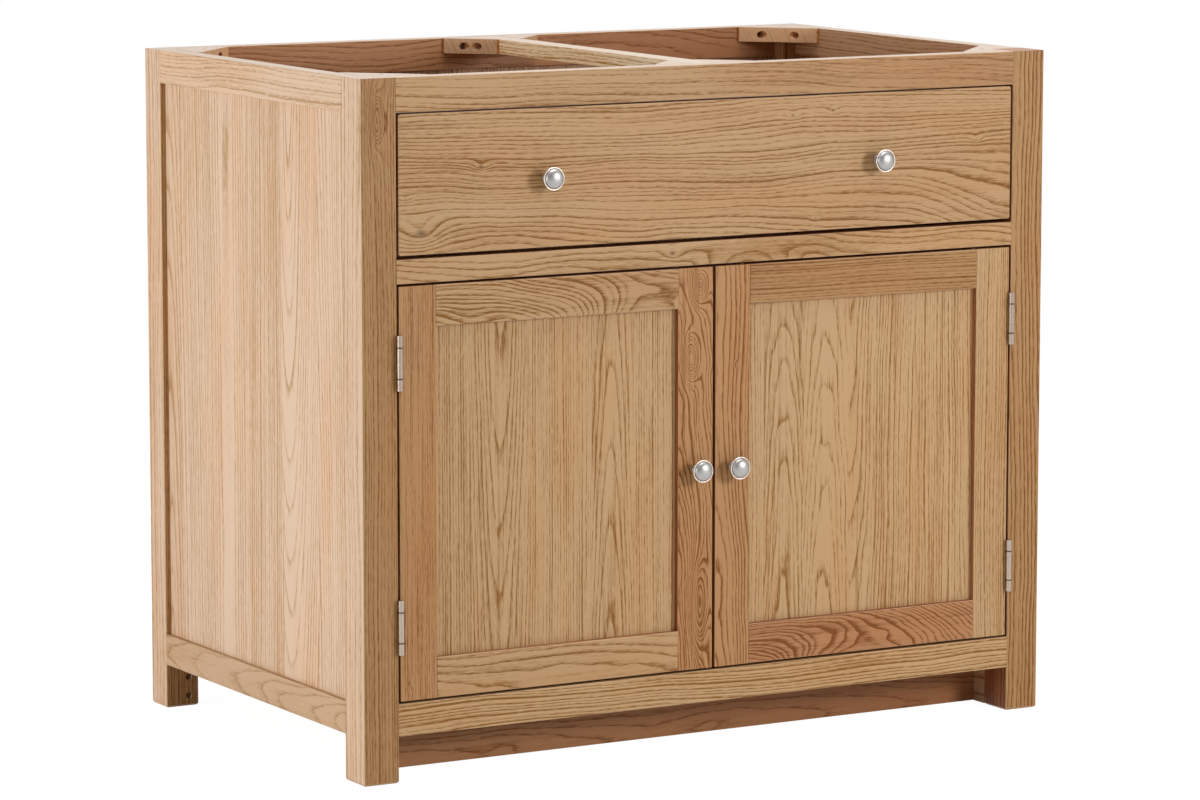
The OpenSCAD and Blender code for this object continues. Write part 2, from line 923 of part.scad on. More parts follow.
// Space of the left door's panel, or its groove when grow is set. The groove runs
// through the ends of the stiles, where the tongues of the rails fill it.
module door_panel_space(low_z, high_z, grow) {
  block_between(
    [-door_x + door_frame_w - groove_d, door_panel_y - grow, low_z],
    [-meeting_x - door_frame_w + groove_d, door_panel_y + door_panel_t + grow, high_z]);
}

module left_door_groove() {
  door_panel_space(door_z - past, door_z + door_h + past, panel_fit);
}

module left_hinge_stile() {
  difference() {
    left_door_stile(-door_x);
    left_door_groove();
    leaf_recess(-door_x);
    leaf_screws(1, screw_fit);
  }
}

module left_meeting_stile() {
  difference() {
    left_door_stile(-meeting_x - door_frame_w);
    left_door_groove();
    knob_hole(-door_knob_x, knob_z);
  }
}

// Rail between the stiles, with a tongue at each end and a groove for the panel
module left_door_rail(z) {
  low_x = -door_x + door_frame_w;
  high_x = -meeting_x - door_frame_w;
  low_z = door_z + door_frame_w - groove_d;
  high_z = door_z + door_h - door_frame_w + groove_d;
  difference() {
    union() {
      translate([low_x, face_y, z]) bar_x([high_x - low_x, door_t, door_frame_w]);
      block_between(
        [low_x - groove_d + panel_fit, door_panel_y, z + arris],
        [high_x + groove_d - panel_fit, door_panel_y + door_panel_t, z + door_frame_w - arris]);
    }
    door_panel_space(low_z, high_z, panel_fit);
  }
}

module left_panel() {
  low_x = -door_x + door_frame_w - groove_d + panel_fit;
  high_x = -meeting_x - door_frame_w + groove_d - panel_fit;
  low_z = door_z + door_frame_w - groove_d;
  high_z = door_z + door_h - door_frame_w + groove_d - panel_fit;
  block_between(
    [low_x, door_panel_y, low_z],
    [high_x, door_panel_y + door_panel_t, high_z]);
}

module left_door_hinge_stile() {
  color(oak_front) left_hinge_stile();
}

module left_door_meeting_stile() {
  color(oak_front) left_meeting_stile();
}

module left_door_top_rail() {
  color(oak_front) left_door_rail(door_z + door_h - door_frame_w);
}

module left_door_bottom_rail() {
  color(oak_front) left_door_rail(door_z);
}

module left_door_panel() {
  color(oak_front) left_panel();
}

module right_door_hinge_stile() {
  color(oak_front) on_the_right() left_hinge_stile();
}

module right_door_meeting_stile() {
  color(oak_front) on_the_right() left_meeting_stile();
}

module right_door_top_rail() {
  color(oak_front) on_the_right() left_door_rail(door_z + door_h - door_frame_w);
}

module right_door_bottom_rail() {
  color(oak_front) on_the_right() left_door_rail(door_z);
}

module right_door_panel() {
  color(oak_front) on_the_right() left_panel();
}

// Shallow recesses for both leaves on one edge, from x inwards
module leaf_recess(x) {
  for (z = hinge_zs)
    block_between(
      [x - screw_fit, face_y - past, z - hinge_h / 2 - screw_fit],
      [x + leaf_let + screw_fit, face_y + leaf_w + screw_fit, z + hinge_h / 2 + screw_fit]);
}

// Leaf of the left hinges. side is -1 for the leaf on the post, which has the end
// knuckles, and 1 for the leaf on the door, which has the middle knuckle.
module hinge_leaf(side) {
  knuckles = side < 0
    ? [[-hinge_h / 2, end_knuckle_h], [hinge_h / 2 - end_knuckle_h, end_knuckle_h]]
    : [[-mid_knuckle_h / 2, mid_knuckle_h]];
  inner_u = leaf_inset - leaf_t;
  low_u = side < 0 ? -leaf_inset : inner_u;
  plate_v = knuckle_d / 2 + knuckle_clear;
  difference() {
    union() {
      translate([low_u, plate_v, -hinge_h / 2]) cube([leaf_t, leaf_w, hinge_h]);
      for (knuckle = knuckles) {
        translate([0, 0, knuckle[0]]) cylinder(h = knuckle[1], d = knuckle_d);
        translate([low_u, 0, knuckle[0]]) cube([leaf_t, plate_v + past, knuckle[1]]);
      }
    }
    translate([0, 0, -hinge_h / 2 - past])
      cylinder(h = hinge_h + 2 * past, d = pin_d + 2 * pin_fit);
    leaf_screw_heads(side);
  }
}

// Countersinks of one leaf, in the leaf's own frame
module leaf_screw_heads(side) {
  for (i = [-1, 0, 1])
    translate([side * (leaf_inset - leaf_t), leaf_screw_y - pin_y, i * leaf_screw_pitch])
      rotate([0, -side * 90, 0]) flat_screw(leaf_t + past, screw_fit);
}

module left_leaves(side) {
  for (z = hinge_zs) translate([-pin_x, pin_y, z]) hinge_leaf(side);
}

module left_pins() {
  for (z = hinge_zs)
    translate([-pin_x, pin_y, z - hinge_h / 2]) cylinder(h = hinge_h, d = pin_d);
}

// Screws of both left leaves on one side: -1 into the post, 1 into the door
module leaf_screws(side, grow) {
  for (z = hinge_zs)
    for (i = [-1, 0, 1])
      translate([-pin_x + side * (leaf_inset - leaf_t), leaf_screw_y, z + i * leaf_screw_pitch])
        rotate([0, -side * 90, 0]) flat_screw(fixing_screw_len, grow);
}

module left_hinge_post_leaves() {
  color(nickel) left_leaves(-1);
}

module left_hinge_door_leaves() {
  color(nickel) left_leaves(1);
}

module left_hinge_pins() {
  color(nickel) left_pins();
}

module right_hinge_post_leaves() {
  color(nickel) on_the_right() left_leaves(-1);
}

module right_hinge_door_leaves() {
  color(nickel) on_the_right() left_leaves(1);
}

module right_hinge_pins() {
  color(nickel) on_the_right() left_pins();
}

module hinge_post_screws() {
  color(nickel) on_both_sides() leaf_screws(-1, 0);
}

// Mushroom knob: foot, waisted neck, flared underside, rim and dome
function knob_outline() =
  let (
    rim_r = knob_d / 2,
    foot_r = knob_foot_d / 2,
    neck_r = knob_neck_d / 2,
    flare = rim_r - knob_bevel - neck_r,
    dome_r = rim_r - knob_rim,
    rim_high = knob_proj - knob_dome,
    rim_low = rim_high - knob_rim_t,
    waist_z = knob_foot_t + knob_waist
  ) [
    [0, 0],
    [foot_r, 0],
    [foot_r, knob_foot_t],
    for (a = [75:-15:0]) [foot_r - (foot_r - neck_r) * cos(a), waist_z - knob_waist * sin(a)],
    for (a = [15:15:75]) [neck_r + flare * (1 - cos(a)), waist_z + (rim_low - waist_z) * sin(a)],
    [rim_r - knob_bevel, rim_low],
    [rim_r, rim_low + knob_bevel],
    [rim_r, rim_high - knob_bevel],
    [rim_r - knob_bevel, rim_high],
    for (a = [0:10:80]) [dome_r * cos(a), rim_high + knob_dome * sin(a)],
    [0, knob_proj],
  ];

module knob(x, z) {
  color(nickel)
    translate([x, face_y, z])
      rotate([90, 0, 0])
        difference() {
          rotate_extrude($fn = 64) polygon(knob_outline());
          translate([0, 0, -past])
            cylinder(h = knob_screw_depth + past + screw_fit, r = knob_screw_r + screw_fit);
        }
}

module knob_hole(x, z) {
  translate([x, face_y - past, z])
    rotate([-90, 0, 0]) cylinder(h = drawer_front_t + door_t, r = knob_screw_r + screw_fit);
}

// Machine screw from the back of the wood into the knob
module knob_screw(x, z, wood_t) {
  translate([x, face_y - knob_screw_depth, z])
    rotate([-90, 0, 0]) {
      cylinder(h = knob_screw_depth + wood_t + knob_screw_head_h, r = knob_screw_r);
      translate([0, 0, knob_screw_depth + wood_t])
        cylinder(h = knob_screw_head_h, r = knob_screw_head_r);
    }
}

module drawer_left_knob() {
  knob(-drawer_knob_x, drawer_knob_z);
}

module drawer_right_knob() {
  knob(drawer_knob_x, drawer_knob_z);
}

module drawer_knob_screws() {
  color(steel)
    for (side = [-1, 1]) knob_screw(side * drawer_knob_x, drawer_knob_z, drawer_front_t);
}

module left_door_knob() {
  knob(-door_knob_x, knob_z);
}

module right_door_knob() {
  knob(door_knob_x, knob_z);
}

module left_screws() {
  leaf_screws(1, 0);
  knob_screw(-door_knob_x, knob_z, door_t);
}

module left_door_screws() {
  color(steel) left_screws();
}

module right_door_screws() {
  color(steel) on_the_right() left_screws();
}

// Magnetic catch on the back of the mid rail. Its nose reaches under the rail
// to the strike plate on the door.
module left_catch() {
  nose_y = face_y + door_t + strike_t + panel_fit;
  translate([-door_knob_x - catch_w / 2, 0, 0])
    rotate([90, 0, 90])
      linear_extrude(catch_w)
        polygon([
          [nose_y, catch_low_z],
          [front_in_y + catch_d, catch_low_z],
          [front_in_y + catch_d, catch_low_z + catch_h],
          [front_in_y, catch_low_z + catch_h],
          [front_in_y, mid_rail_z - panel_fit],
          [nose_y, mid_rail_z - panel_fit],
        ]);
}

module door_catches() {
  color(catch_brown) on_both_sides() left_catch();
}

module left_strike() {
  mid_z = (catch_low_z + door_z + door_h - arris) / 2;
  block_between(
    [-door_knob_x - strike_w / 2, face_y + door_t, mid_z - strike_h / 2],
    [-door_knob_x + strike_w / 2, face_y + door_t + strike_t, mid_z + strike_h / 2]);
}

module left_door_strike() {
  color(steel) left_strike();
}

module right_door_strike() {
  color(steel) on_the_right() left_strike();
}

front_left_post();
front_right_post();
back_left_post();
back_right_post();
front_top_rail();
front_mid_rail();
front_bottom_rail();
left_top_rail();
left_bottom_rail();
right_top_rail();
right_bottom_rail();
back_top_rail();
back_bottom_rail();
left_side_panel();
right_side_panel();
back_boards();
cross_rail();
corner_blocks();
cross_rail_blocks();
block_screws();
cabinet_floor();
floor_cleats();
plinth();
plinth_blocks();
shelf();
shelf_cleats();
drawer_runners();
runner_screws();
drawer_front();
drawer_left_side();
drawer_right_side();
drawer_back();
drawer_bottom();
drawer_left_knob();
drawer_right_knob();
drawer_knob_screws();
left_door_hinge_stile();
left_door_meeting_stile();
left_door_top_rail();
left_door_bottom_rail();
left_door_panel();
left_door_knob();
left_door_screws();
right_door_hinge_stile();
right_door_meeting_stile();
right_door_top_rail();
right_door_bottom_rail();
right_door_panel();
right_door_knob();
right_door_screws();
left_hinge_post_leaves();
left_hinge_door_leaves();
left_hinge_pins();
right_hinge_post_leaves();
right_hinge_door_leaves();
right_hinge_pins();
hinge_post_screws();
door_catches();
left_door_strike();
right_door_strike();
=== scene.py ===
"""Dresses the solid oak kitchen base cabinet: lacquered oak, board by board, satin nickel and a white studio."""

import math
import random

import bmesh
import bpy
from bpy.props import FloatProperty, FloatVectorProperty, PointerProperty
from bpy.types import Operator, Panel, PropertyGroup
from mathutils import Euler, Matrix, Vector


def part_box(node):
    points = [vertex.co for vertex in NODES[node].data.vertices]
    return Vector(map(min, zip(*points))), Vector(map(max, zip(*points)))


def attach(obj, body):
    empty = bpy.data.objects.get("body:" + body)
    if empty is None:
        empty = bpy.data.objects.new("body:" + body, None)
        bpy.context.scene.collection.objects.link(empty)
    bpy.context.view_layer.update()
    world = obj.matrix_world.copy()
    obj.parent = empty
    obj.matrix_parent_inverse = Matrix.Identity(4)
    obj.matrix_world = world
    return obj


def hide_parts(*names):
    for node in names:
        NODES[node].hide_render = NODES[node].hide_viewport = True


bl_info = {
    "name": "Oak Base Cabinet Looks",
    "version": (1, 0, 0),
    "blender": (4, 5, 0),
    "location": "3D View > Sidebar > Cabinet",
    "description": "Gives the parts of a solid oak base cabinet their wood, metal and studio",
    "category": "Material",
}

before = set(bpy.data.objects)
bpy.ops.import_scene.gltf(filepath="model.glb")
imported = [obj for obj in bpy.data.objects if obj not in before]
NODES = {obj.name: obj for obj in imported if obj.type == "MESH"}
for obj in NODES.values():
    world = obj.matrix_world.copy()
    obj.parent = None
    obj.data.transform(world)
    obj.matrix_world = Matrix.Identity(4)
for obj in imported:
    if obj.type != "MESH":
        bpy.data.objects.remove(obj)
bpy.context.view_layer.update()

X, Y, Z = 0, 1, 2


def linear(red, green, blue):
    """A colour as it is picked on a screen, 0 to 255, as linear numbers."""
    def one(level):
        share = level / 255
        return share / 12.92 if share <= 0.04045 else ((share + 0.055) / 1.055) ** 2.4
    return (one(red), one(green), one(blue))


def tinted(colour, *factors):
    """A colour with each of its parts scaled."""
    return tuple(part * factor for part, factor in zip(colour, factors))


class Wire:
    """One output of a node. Expressions on wires add the Math nodes that work them out."""

    def __init__(self, recipe, socket):
        self.recipe = recipe
        self.socket = socket

    def math(self, kind, *others, clamp=False):
        return self.recipe.math(kind, self, *others, clamp=clamp)

    def __add__(self, other):
        return self.math("ADD", other)

    def __radd__(self, other):
        return self.math("ADD", other)

    def __sub__(self, other):
        return self.math("SUBTRACT", other)

    def __rsub__(self, other):
        return self.recipe.math("SUBTRACT", other, self)

    def __mul__(self, other):
        return self.math("MULTIPLY", other)

    def __rmul__(self, other):
        return self.math("MULTIPLY", other)

    def __truediv__(self, other):
        return self.math("DIVIDE", other)

    def __rtruediv__(self, other):
        return self.recipe.math("DIVIDE", other, self)

    def __pow__(self, other):
        return self.math("POWER", other)

    def __rpow__(self, other):
        return self.recipe.math("POWER", other, self)

    def floor(self):
        return self.math("FLOOR")

    def fract(self):
        return self.math("FRACT")

    def root(self):
        return self.math("SQRT")

    def bell(self):
        """1 where the wire is 0, falling off on both sides with its square."""
        return (self * self * -1.0).math("EXPONENT")

    def clamped(self):
        return self.math("ADD", 0.0, clamp=True)

    def rises(self, low, high):
        """0 below low, 1 above high and a smooth step between them."""
        return self.recipe.node(
            "ShaderNodeMapRange", {"interpolation_type": "SMOOTHSTEP"},
            {"Value": self, "From Min": low, "From Max": high})


class Recipe:
    """The node tree of one material, or of the world."""

    def __init__(self, owner):
        owner.use_nodes = True
        self.owner = owner
        self.tree = owner.node_tree
        self.tree.nodes.clear()

    def node(self, kind, settings, inputs, output=0):
        """Adds a node: its settings first, then the values or wires of its sockets.

        The result is the wire of one output, or the node itself where output is None.
        """
        made = self.tree.nodes.new(kind)
        for name, value in settings.items():
            setattr(made, name, value)
        for name, value in inputs.items():
            socket = made.inputs[name]
            if isinstance(value, Wire):
                self.tree.links.new(value.socket, socket)
            else:
                socket.default_value = value
        return made if output is None else Wire(self, made.outputs[output])

    def math(self, kind, *values, clamp=False):
        return self.node(
            "ShaderNodeMath", {"operation": kind, "use_clamp": clamp},
            {place: value for place, value in enumerate(values)})

    def parts(self, vector):
        """The three parts of a vector as wires."""
        split = self.node("ShaderNodeSeparateXYZ", {}, {"Vector": vector}, None)
        return [Wire(self, split.outputs[axis]) for axis in (X, Y, Z)]

    def place(self):
        """Object coordinates. A CAD part's are its row coordinates in metres."""
        return self.parts(self.node("ShaderNodeTexCoord", {}, {}, "Object"))

    def facing(self):
        """The surface normal in object space."""
        return self.parts(self.node("ShaderNodeTexCoord", {}, {}, "Normal"))

    def noise(self, at, detail=2.0, roughness=0.5):
        """Soft noise from about 0 to 1 at a point whose three wires are already scaled."""
        vector = self.node("ShaderNodeCombineXYZ", {}, dict(zip("XYZ", at)))
        return self.node(
            "ShaderNodeTexNoise", {"noise_dimensions": "3D"},
            {"Vector": vector, "Scale": 1.0, "Detail": detail, "Roughness": roughness}, "Fac")

    def lot(self, value):
        """A fixed random number from 0 to 1 for each whole value."""
        return self.node("ShaderNodeTexWhiteNoise", {"noise_dimensions": "1D"}, {"W": value}, "Value")

    def blend(self, low, high, share, kind="MIX"):
        """A mix of two colours, each given as a wire or as linear numbers."""
        low, high = (value if isinstance(value, Wire) else (*value, 1.0) for value in (low, high))
        return self.node(
            "ShaderNodeMix", {"data_type": "RGBA", "blend_type": kind}, {"Factor": share, 6: low, 7: high}, 2)

    def bump(self, height, distance):
        return self.node("ShaderNodeBump", {}, {"Height": height, "Distance": distance})

    def surface(self, inputs):
        """A Principled surface on the material's output."""
        self.output(self.node("ShaderNodeBsdfPrincipled", {}, inputs))

    def output(self, shader):
        kind = "World" if isinstance(self.owner, bpy.types.World) else "Material"
        self.node("ShaderNodeOutput" + kind, {}, {"Surface": shader}, None)


# How a board was cut from the log. heart is how far the board's middle lies beside and above the
# log's heart, taper how fast the rings close in along the board, wander and wave how far they
# stray in long and short curves, and ring their spacing, in metres. A cut may have a ripple too,
# how far they stray in fine curves. crisp says how thin the dark line of a ring is, depth how
# dark, and fibre how strong the fine texture along the grain is.
FIGURES = {
    "plain": dict(
        heart=(0.130, 0.030), taper=0.004, wander=0.008, wave=0.0016, ring=0.0040, crisp=1.4, depth=0.50, fibre=2.3),
    "straight": dict(
        heart=(0.110, 0.045), taper=0.006, wander=0.008, wave=0.0012, ring=0.0052, crisp=2.0, depth=0.80, fibre=1.0),
    "rift": dict(
        heart=(0.070, 0.070), taper=0.016, wander=0.014, wave=0.0020, ring=0.0056, crisp=2.2, depth=0.80, fibre=1.3),
    "crown": dict(
        heart=(0.006, 0.060), taper=0.070, wander=0.014, wave=0.0030, ring=0.0060, crisp=2.6, depth=0.95, fibre=1.0),
    "wavy": dict(
        heart=(0.030, 0.055), taper=0.028, wander=0.024, wave=0.0040, ring=0.0062, crisp=2.6, depth=0.95, fibre=1.1),
    "curly": dict(
        heart=(0.040, 0.050), taper=0.120, wander=0.022, wave=0.0070, ring=0.0052, crisp=2.0, depth=1.15, fibre=1.5),
}

# Waves a metre along and across the grain of what marks the wood.
LONG_CURVES, SHORT_CURVES, FINE_CURVES = (2.2, 9.0), (11.0, 27.0), (9.0, 75.0)
PORES, FIBRES, STREAKS, CLOUDS, WARM_PATCHES = (80.0, 720.0), (5.0, 240.0), (2.6, 60.0), (4.0, 12.0), (2.4, 16.0)

# How far apart in their logs the strips of one board lie: along, beside the heart and in taper.
# A strip whose heart is given is moved along by GLUED_ALONG times that.
STRIP_ALONG, STRIP_BESIDE, STRIP_TAPER, GLUED_ALONG = 5.0, 0.20, 0.16, 40.0

# The rings stray STRAY_BESIDE times as far beside the heart as above it. FULL_SWING brings noise
# that runs half a unit each way to a whole one.
STRAY_BESIDE, FULL_SWING = 1.6, 2.0

# Rings aren't evenly wide: how fast that changes, in waves a ring, and how far it goes, in rings.
UNEVEN_WAVES, UNEVEN_RINGS = 0.37, 1.6

# A ring's strength starts at FAINT_RING and goes up by RING_RANGE. Its line sets in within
# RING_START of its width, and narrows to FLAT_RING of its share where the ring lies flat in the face.
FAINT_RING, RING_RANGE, RING_START, FLAT_RING = 0.5, 0.9, 0.10, 0.25

# A knot: how narrow for its length, how ragged, how soon the bend of the rings fades round it, and
# how far they bend for its radius. EYE_SHADE is how much darker an eye is.
KNOT_NARROW, KNOT_RAGGED, KNOT_FADE, KNOT_BEND, EYE_SHADE = 0.6, 1.4, 0.45, 1.8, 0.5

# How much each thing adds to how dark the wood is. The contrast works about MIDDLE_MARK, which
# becomes PLAIN_MARK. Pores break up a ring's line by PORE_BREAKS about PORE_EVEN.
PORE_MARK, STREAK_MARK, CLOUD_MARK, STRIP_MARK = 0.75, 0.40, 0.30, 0.28
MIDDLE_MARK, PLAIN_MARK = 0.24, 0.30
PORE_BREAKS, PORE_EVEN = 1.8, 0.95

# A tone's factors in the palest and the darkest wood and in warm patches, from where to where in
# their noise these set in, and how strong they, a knot and the wear and painted highlight on a rounded edge show.
PALEST, DARKEST, WARM_TINT = (1.18, 1.24, 1.38), (0.54, 0.36, 0.06), (1.0, 0.84, 0.70)
WARM_START, WARM_SHARE, KNOT_SHARE, WEAR_AND_HIGHLIGHT_SHARE = (-0.05, 0.22), 0.55, 0.7, 0.5

# From where to where a face's normal has it look to a side or up, lie in a gap, or be a rounded
# edge: where the outside tone with its painted sheen, the painted light on top faces, the painted
# shade in gaps and the wear and painted highlight of edges show.
SIDEWAYS, UPWARD, IN_GAP, ROUNDED = (0.6, 0.95), (0.8, 0.98), (0.90, 0.99), (0.01, 0.20)

# The lacquered face: what fibre, pores and early wood add to its roughness, how far they stand up
# or lie low in it, the depth of that relief in metres, and its gloss.
FIBRE_ROUGH, PORE_ROUGH, EARLY_ROUGH = 0.12, 0.20, 0.06
FIBRE_HIGH, EARLY_LOW, PORE_LOW, OAK_RELIEF = 0.3, 0.35, 0.5, 0.00012
OAK_SPECULAR, LACQUER_ROUGHNESS = 0.22, 0.34


class Board:
    """One board of a CAD part, and the wood at each point of it.

    grain and face are the axes along the grain and across the thickness. strips says how a wide
    board is glued up: the width of even strips, or for each strip where it starts, where its
    log's heart lies, how fast its rings close in along it, and how much darker it is.
    """

    def __init__(self, node, grain, face, cut, strips):
        low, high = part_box(node)
        self.middle = (low + high) / 2
        self.cut = cut
        self.chance = random.Random(node)
        self.recipe = Recipe(bpy.data.materials.new("oak_" + node))
        place = [wire - float(middle) for wire, middle in zip(self.recipe.place(), self.middle)]
        self.at_along, self.at_across, self.deep = place[grain], place[3 - grain - face], place[face]
        self.along = self.at_along + self.chance.uniform(-3, 3)
        self.beside = self.at_across + cut["heart"][0]
        self.slope = cut["taper"]
        self.shade = 0.0
        if isinstance(strips, tuple):
            self.glue(strips)
        elif strips:
            self.split(strips)

    def split(self, width):
        """Glues the board up from even strips, each out of a log of its own."""
        strip = (self.at_across / width + self.chance.uniform(0, 1)).floor()
        along, beside, shade = (self.recipe.lot(strip * 1.37 + self.chance.uniform(3, 90)) - 0.5 for _ in range(3))
        self.along = self.along + along * STRIP_ALONG
        self.beside = self.at_across - (strip + 0.5) * width + beside * STRIP_BESIDE
        self.slope = along * STRIP_TAPER
        self.shade = shade

    def glue(self, strips):
        """Glues the board up from strips whose places and logs are given."""
        heart, slope, shade = strips[0][1:]
        for last, strip in zip(strips, strips[1:]):
            past = self.at_across.math("GREATER_THAN", strip[0])
            heart, slope, shade = (
                value + past * (new - old) for value, new, old in zip((heart, slope, shade), strip[1:], last[1:]))
        self.along = self.along + heart * GLUED_ALONG
        self.beside = self.at_across - heart
        self.slope = slope
        self.shade = shade

    def stretched(self, along, across, detail=1.0, roughness=0.5):
        """Noise around 0, drawn out along the grain. Its two scales are in waves a metre."""
        at = (self.along * along, self.at_across * across, self.deep * across)
        return self.recipe.noise(at, detail, roughness) - 0.5

    def grow(self, knots, eyes):
        """The distance from the log's heart, how steeply it rises on the face, and how dark the knots are.

        Knots and eyes bend the rings.
        """
        slow = self.stretched(*LONG_CURVES)
        short = self.stretched(*SHORT_CURVES, 2.0)
        beside = self.beside + slow * (self.cut["wander"] * STRAY_BESIDE)
        above = self.deep + self.cut["heart"][1] + self.at_along * self.slope + slow * self.cut["wander"]
        plain = (beside * beside + above * above).root()
        steep = (beside * beside + (above * self.slope) ** 2.0).root() / plain
        radius = plain + short * (self.cut["wave"] * FULL_SWING)
        if "ripple" in self.cut:
            radius = radius + self.stretched(*FINE_CURVES) * self.cut["ripple"]
        for along, across, length, width, rise in eyes:
            reach = ((self.at_along - along) / length) ** 2.0 + ((self.at_across - across) / width) ** 2.0
            bend = reach.root().bell()
            radius = radius + bend * rise
            self.shade = self.shade + bend * EYE_SHADE
        dark = None
        for along, across, size in knots:
            sides = ((self.at_along - along) * KNOT_NARROW) ** 2.0 + (self.at_across - across) ** 2.0
            reach = sides.root() / size + short * KNOT_RAGGED
            radius = radius + (reach * KNOT_FADE).bell() * (size * KNOT_BEND)
            core = 1.0 - reach.rises(0.0, 1.0)
            dark = core if dark is None else dark.math("MAXIMUM", core)
        return radius, steep, dark

    def mark(self, radius, steep, wood):
        """How dark the wood is, how much early wood of a ring it is, the pores and the fibre."""
        ring = radius / (self.cut["ring"] * wood.ring_spacing)
        ring = ring + self.recipe.noise((ring * UNEVEN_WAVES, 0.0, 0.0), 0.0) * UNEVEN_RINGS
        phase = ring.fract()
        strength = self.recipe.lot(ring.floor()) * RING_RANGE + FAINT_RING
        thin = self.cut["crisp"] / (steep * (1.0 - FLAT_RING) + FLAT_RING)
        early = (1.0 - phase) ** thin * phase.rises(0.0, RING_START) * strength
        pores = self.stretched(*PORES, 2.0, 0.6)
        early = early * (pores * PORE_BREAKS + PORE_EVEN)
        fibre = self.stretched(*FIBRES, 3.0, 0.80)
        dark = early * self.cut["depth"] + pores * PORE_MARK + fibre * self.cut["fibre"]
        dark = dark + self.stretched(*STREAKS) * STREAK_MARK + self.stretched(*CLOUDS, 2.0) * CLOUD_MARK
        dark = (dark + self.shade * STRIP_MARK - MIDDLE_MARK) * wood.contrast + PLAIN_MARK
        return dark.clamped(), early, pores, fibre


def oak(node, grain, face, tone, figure, strips=None, knots=(), eyes=(), outside=0.0, inside=0.0, edges=0.0,
        top=0.0, drift_and_shade=0.0, **cut):
    """Gives a CAD part lacquered oak of its own board.

    A knot is (place along, place across, radius) and an eye (place along, place across, length,
    width, rise of the rings), counted from the board's middle. An eye darkens its place too, and
    only does that where its rise is 0. outside and inside are how far the faces that look out of
    the cabinet's sides, or in from them, take the tones of these places; the pale outside tone is
    partly paler wood and partly painted sheen and side light. edges is how far painted shade darkens
    and reddens the edges that lie in a gap, top how far painted light from above makes a top face
    paler, and drift_and_shade how much browner the board grows towards its far end, which on the
    plinth is painted shade. cut holds what differs from the figure.
    """
    wood = bpy.context.scene.cabinet_wood
    board = Board(node, grain, face, FIGURES[figure] | cut, strips)
    recipe = board.recipe
    radius, steep, knot = board.grow(knots, eyes)
    dark, early, pores, fibre = board.mark(radius, steep, wood)
    base = tuple(getattr(wood, tone))
    facing = recipe.facing()
    outward = facing[X] * math.copysign(1.0, board.middle[X])
    if outside:
        dark = dark - (dark - PLAIN_MARK) * (outward.rises(*SIDEWAYS) * wood.side_calm)
    colour = recipe.blend(tinted(base, *PALEST), tinted(base, *DARKEST), dark)
    warmth = board.stretched(*WARM_PATCHES, 2.0).rises(*WARM_START) * WARM_SHARE
    colour = recipe.blend(colour, WARM_TINT, warmth, "MULTIPLY")
    # The outside tone is partly paler wood and partly painted sheen and side light on outward faces.
    for amount, sign, place in ((outside, 1.0, wood.outside), (inside, -1.0, wood.inside)):
        if amount:
            change = tuple(new / old for new, old in zip(place, base))
            colour = recipe.blend(colour, change, (outward * sign).rises(*SIDEWAYS) * amount, "MULTIPLY")
    if knot is not None:
        colour = recipe.blend(colour, wood.knot, knot * KNOT_SHARE)
    # Browner towards the far end: a change of tone on most boards, painted shade on the plinth.
    if drift_and_shade:
        half = float(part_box(node)[1][grain] - board.middle[grain])
        colour = recipe.blend(colour, wood.drift_and_shade, board.at_along.rises(-half, half) * drift_and_shade, "MULTIPLY")
    # Painted light: faces that look up are made paler, standing in for the light from above.
    if top:
        colour = recipe.blend(colour, wood.raw, facing[Z].rises(*UPWARD) * top)
    ahead = facing[Y].math("ABSOLUTE")
    flat = facing[X].math("ABSOLUTE").math("MAXIMUM", facing[Z].math("ABSOLUTE"))
    # Painted shade: edges that lie in a gap are darkened and reddened, standing in for the shadow in the gap.
    if edges:
        gap_shade = flat.rises(*IN_GAP) * edges
        if outside:
            gap_shade = gap_shade * (1.0 - outward.rises(*SIDEWAYS))
        colour = recipe.blend(colour, wood.gap, gap_shade, "MULTIPLY")
    # Rounded edges are paler: partly wear, partly a painted highlight of the lacquer's sheen.
    wear_and_highlight = (1.0 - flat.math("MAXIMUM", ahead)).rises(*ROUNDED)
    colour = recipe.blend(colour, wood.wear_and_highlight, wear_and_highlight * WEAR_AND_HIGHLIGHT_SHARE)
    recipe.surface({
        "Base Color": colour,
        "Roughness": (fibre * FIBRE_ROUGH + pores * PORE_ROUGH + early * EARLY_ROUGH + wood.roughness).clamped(),
        "Normal": recipe.bump(fibre * FIBRE_HIGH - early * EARLY_LOW - pores * PORE_LOW, OAK_RELIEF),
        "Specular IOR Level": OAK_SPECULAR,
        "Coat Weight": wood.lacquer,
        "Coat Roughness": LACQUER_ROUGHNESS,
    })
    dress(node, recipe.owner)


def dress(node, material):
    """Gives a CAD part one material on all its slots."""
    data = NODES[node].data
    data.materials.clear()
    data.materials.append(material)
    for face in data.polygons:
        face.material_index = 0


def tone_setting(name, text, red, green, blue):
    """A colour that a user may change, its default as picked on a screen."""
    return FloatVectorProperty(
        name=name, description=text, subtype="COLOR", default=linear(red, green, blue), min=0, max=1)


def share_setting(name, text, value):
    """A share from 0 to 1 that a user may change."""
    return FloatProperty(name=name, description=text, default=value, subtype="FACTOR", min=0, max=1)


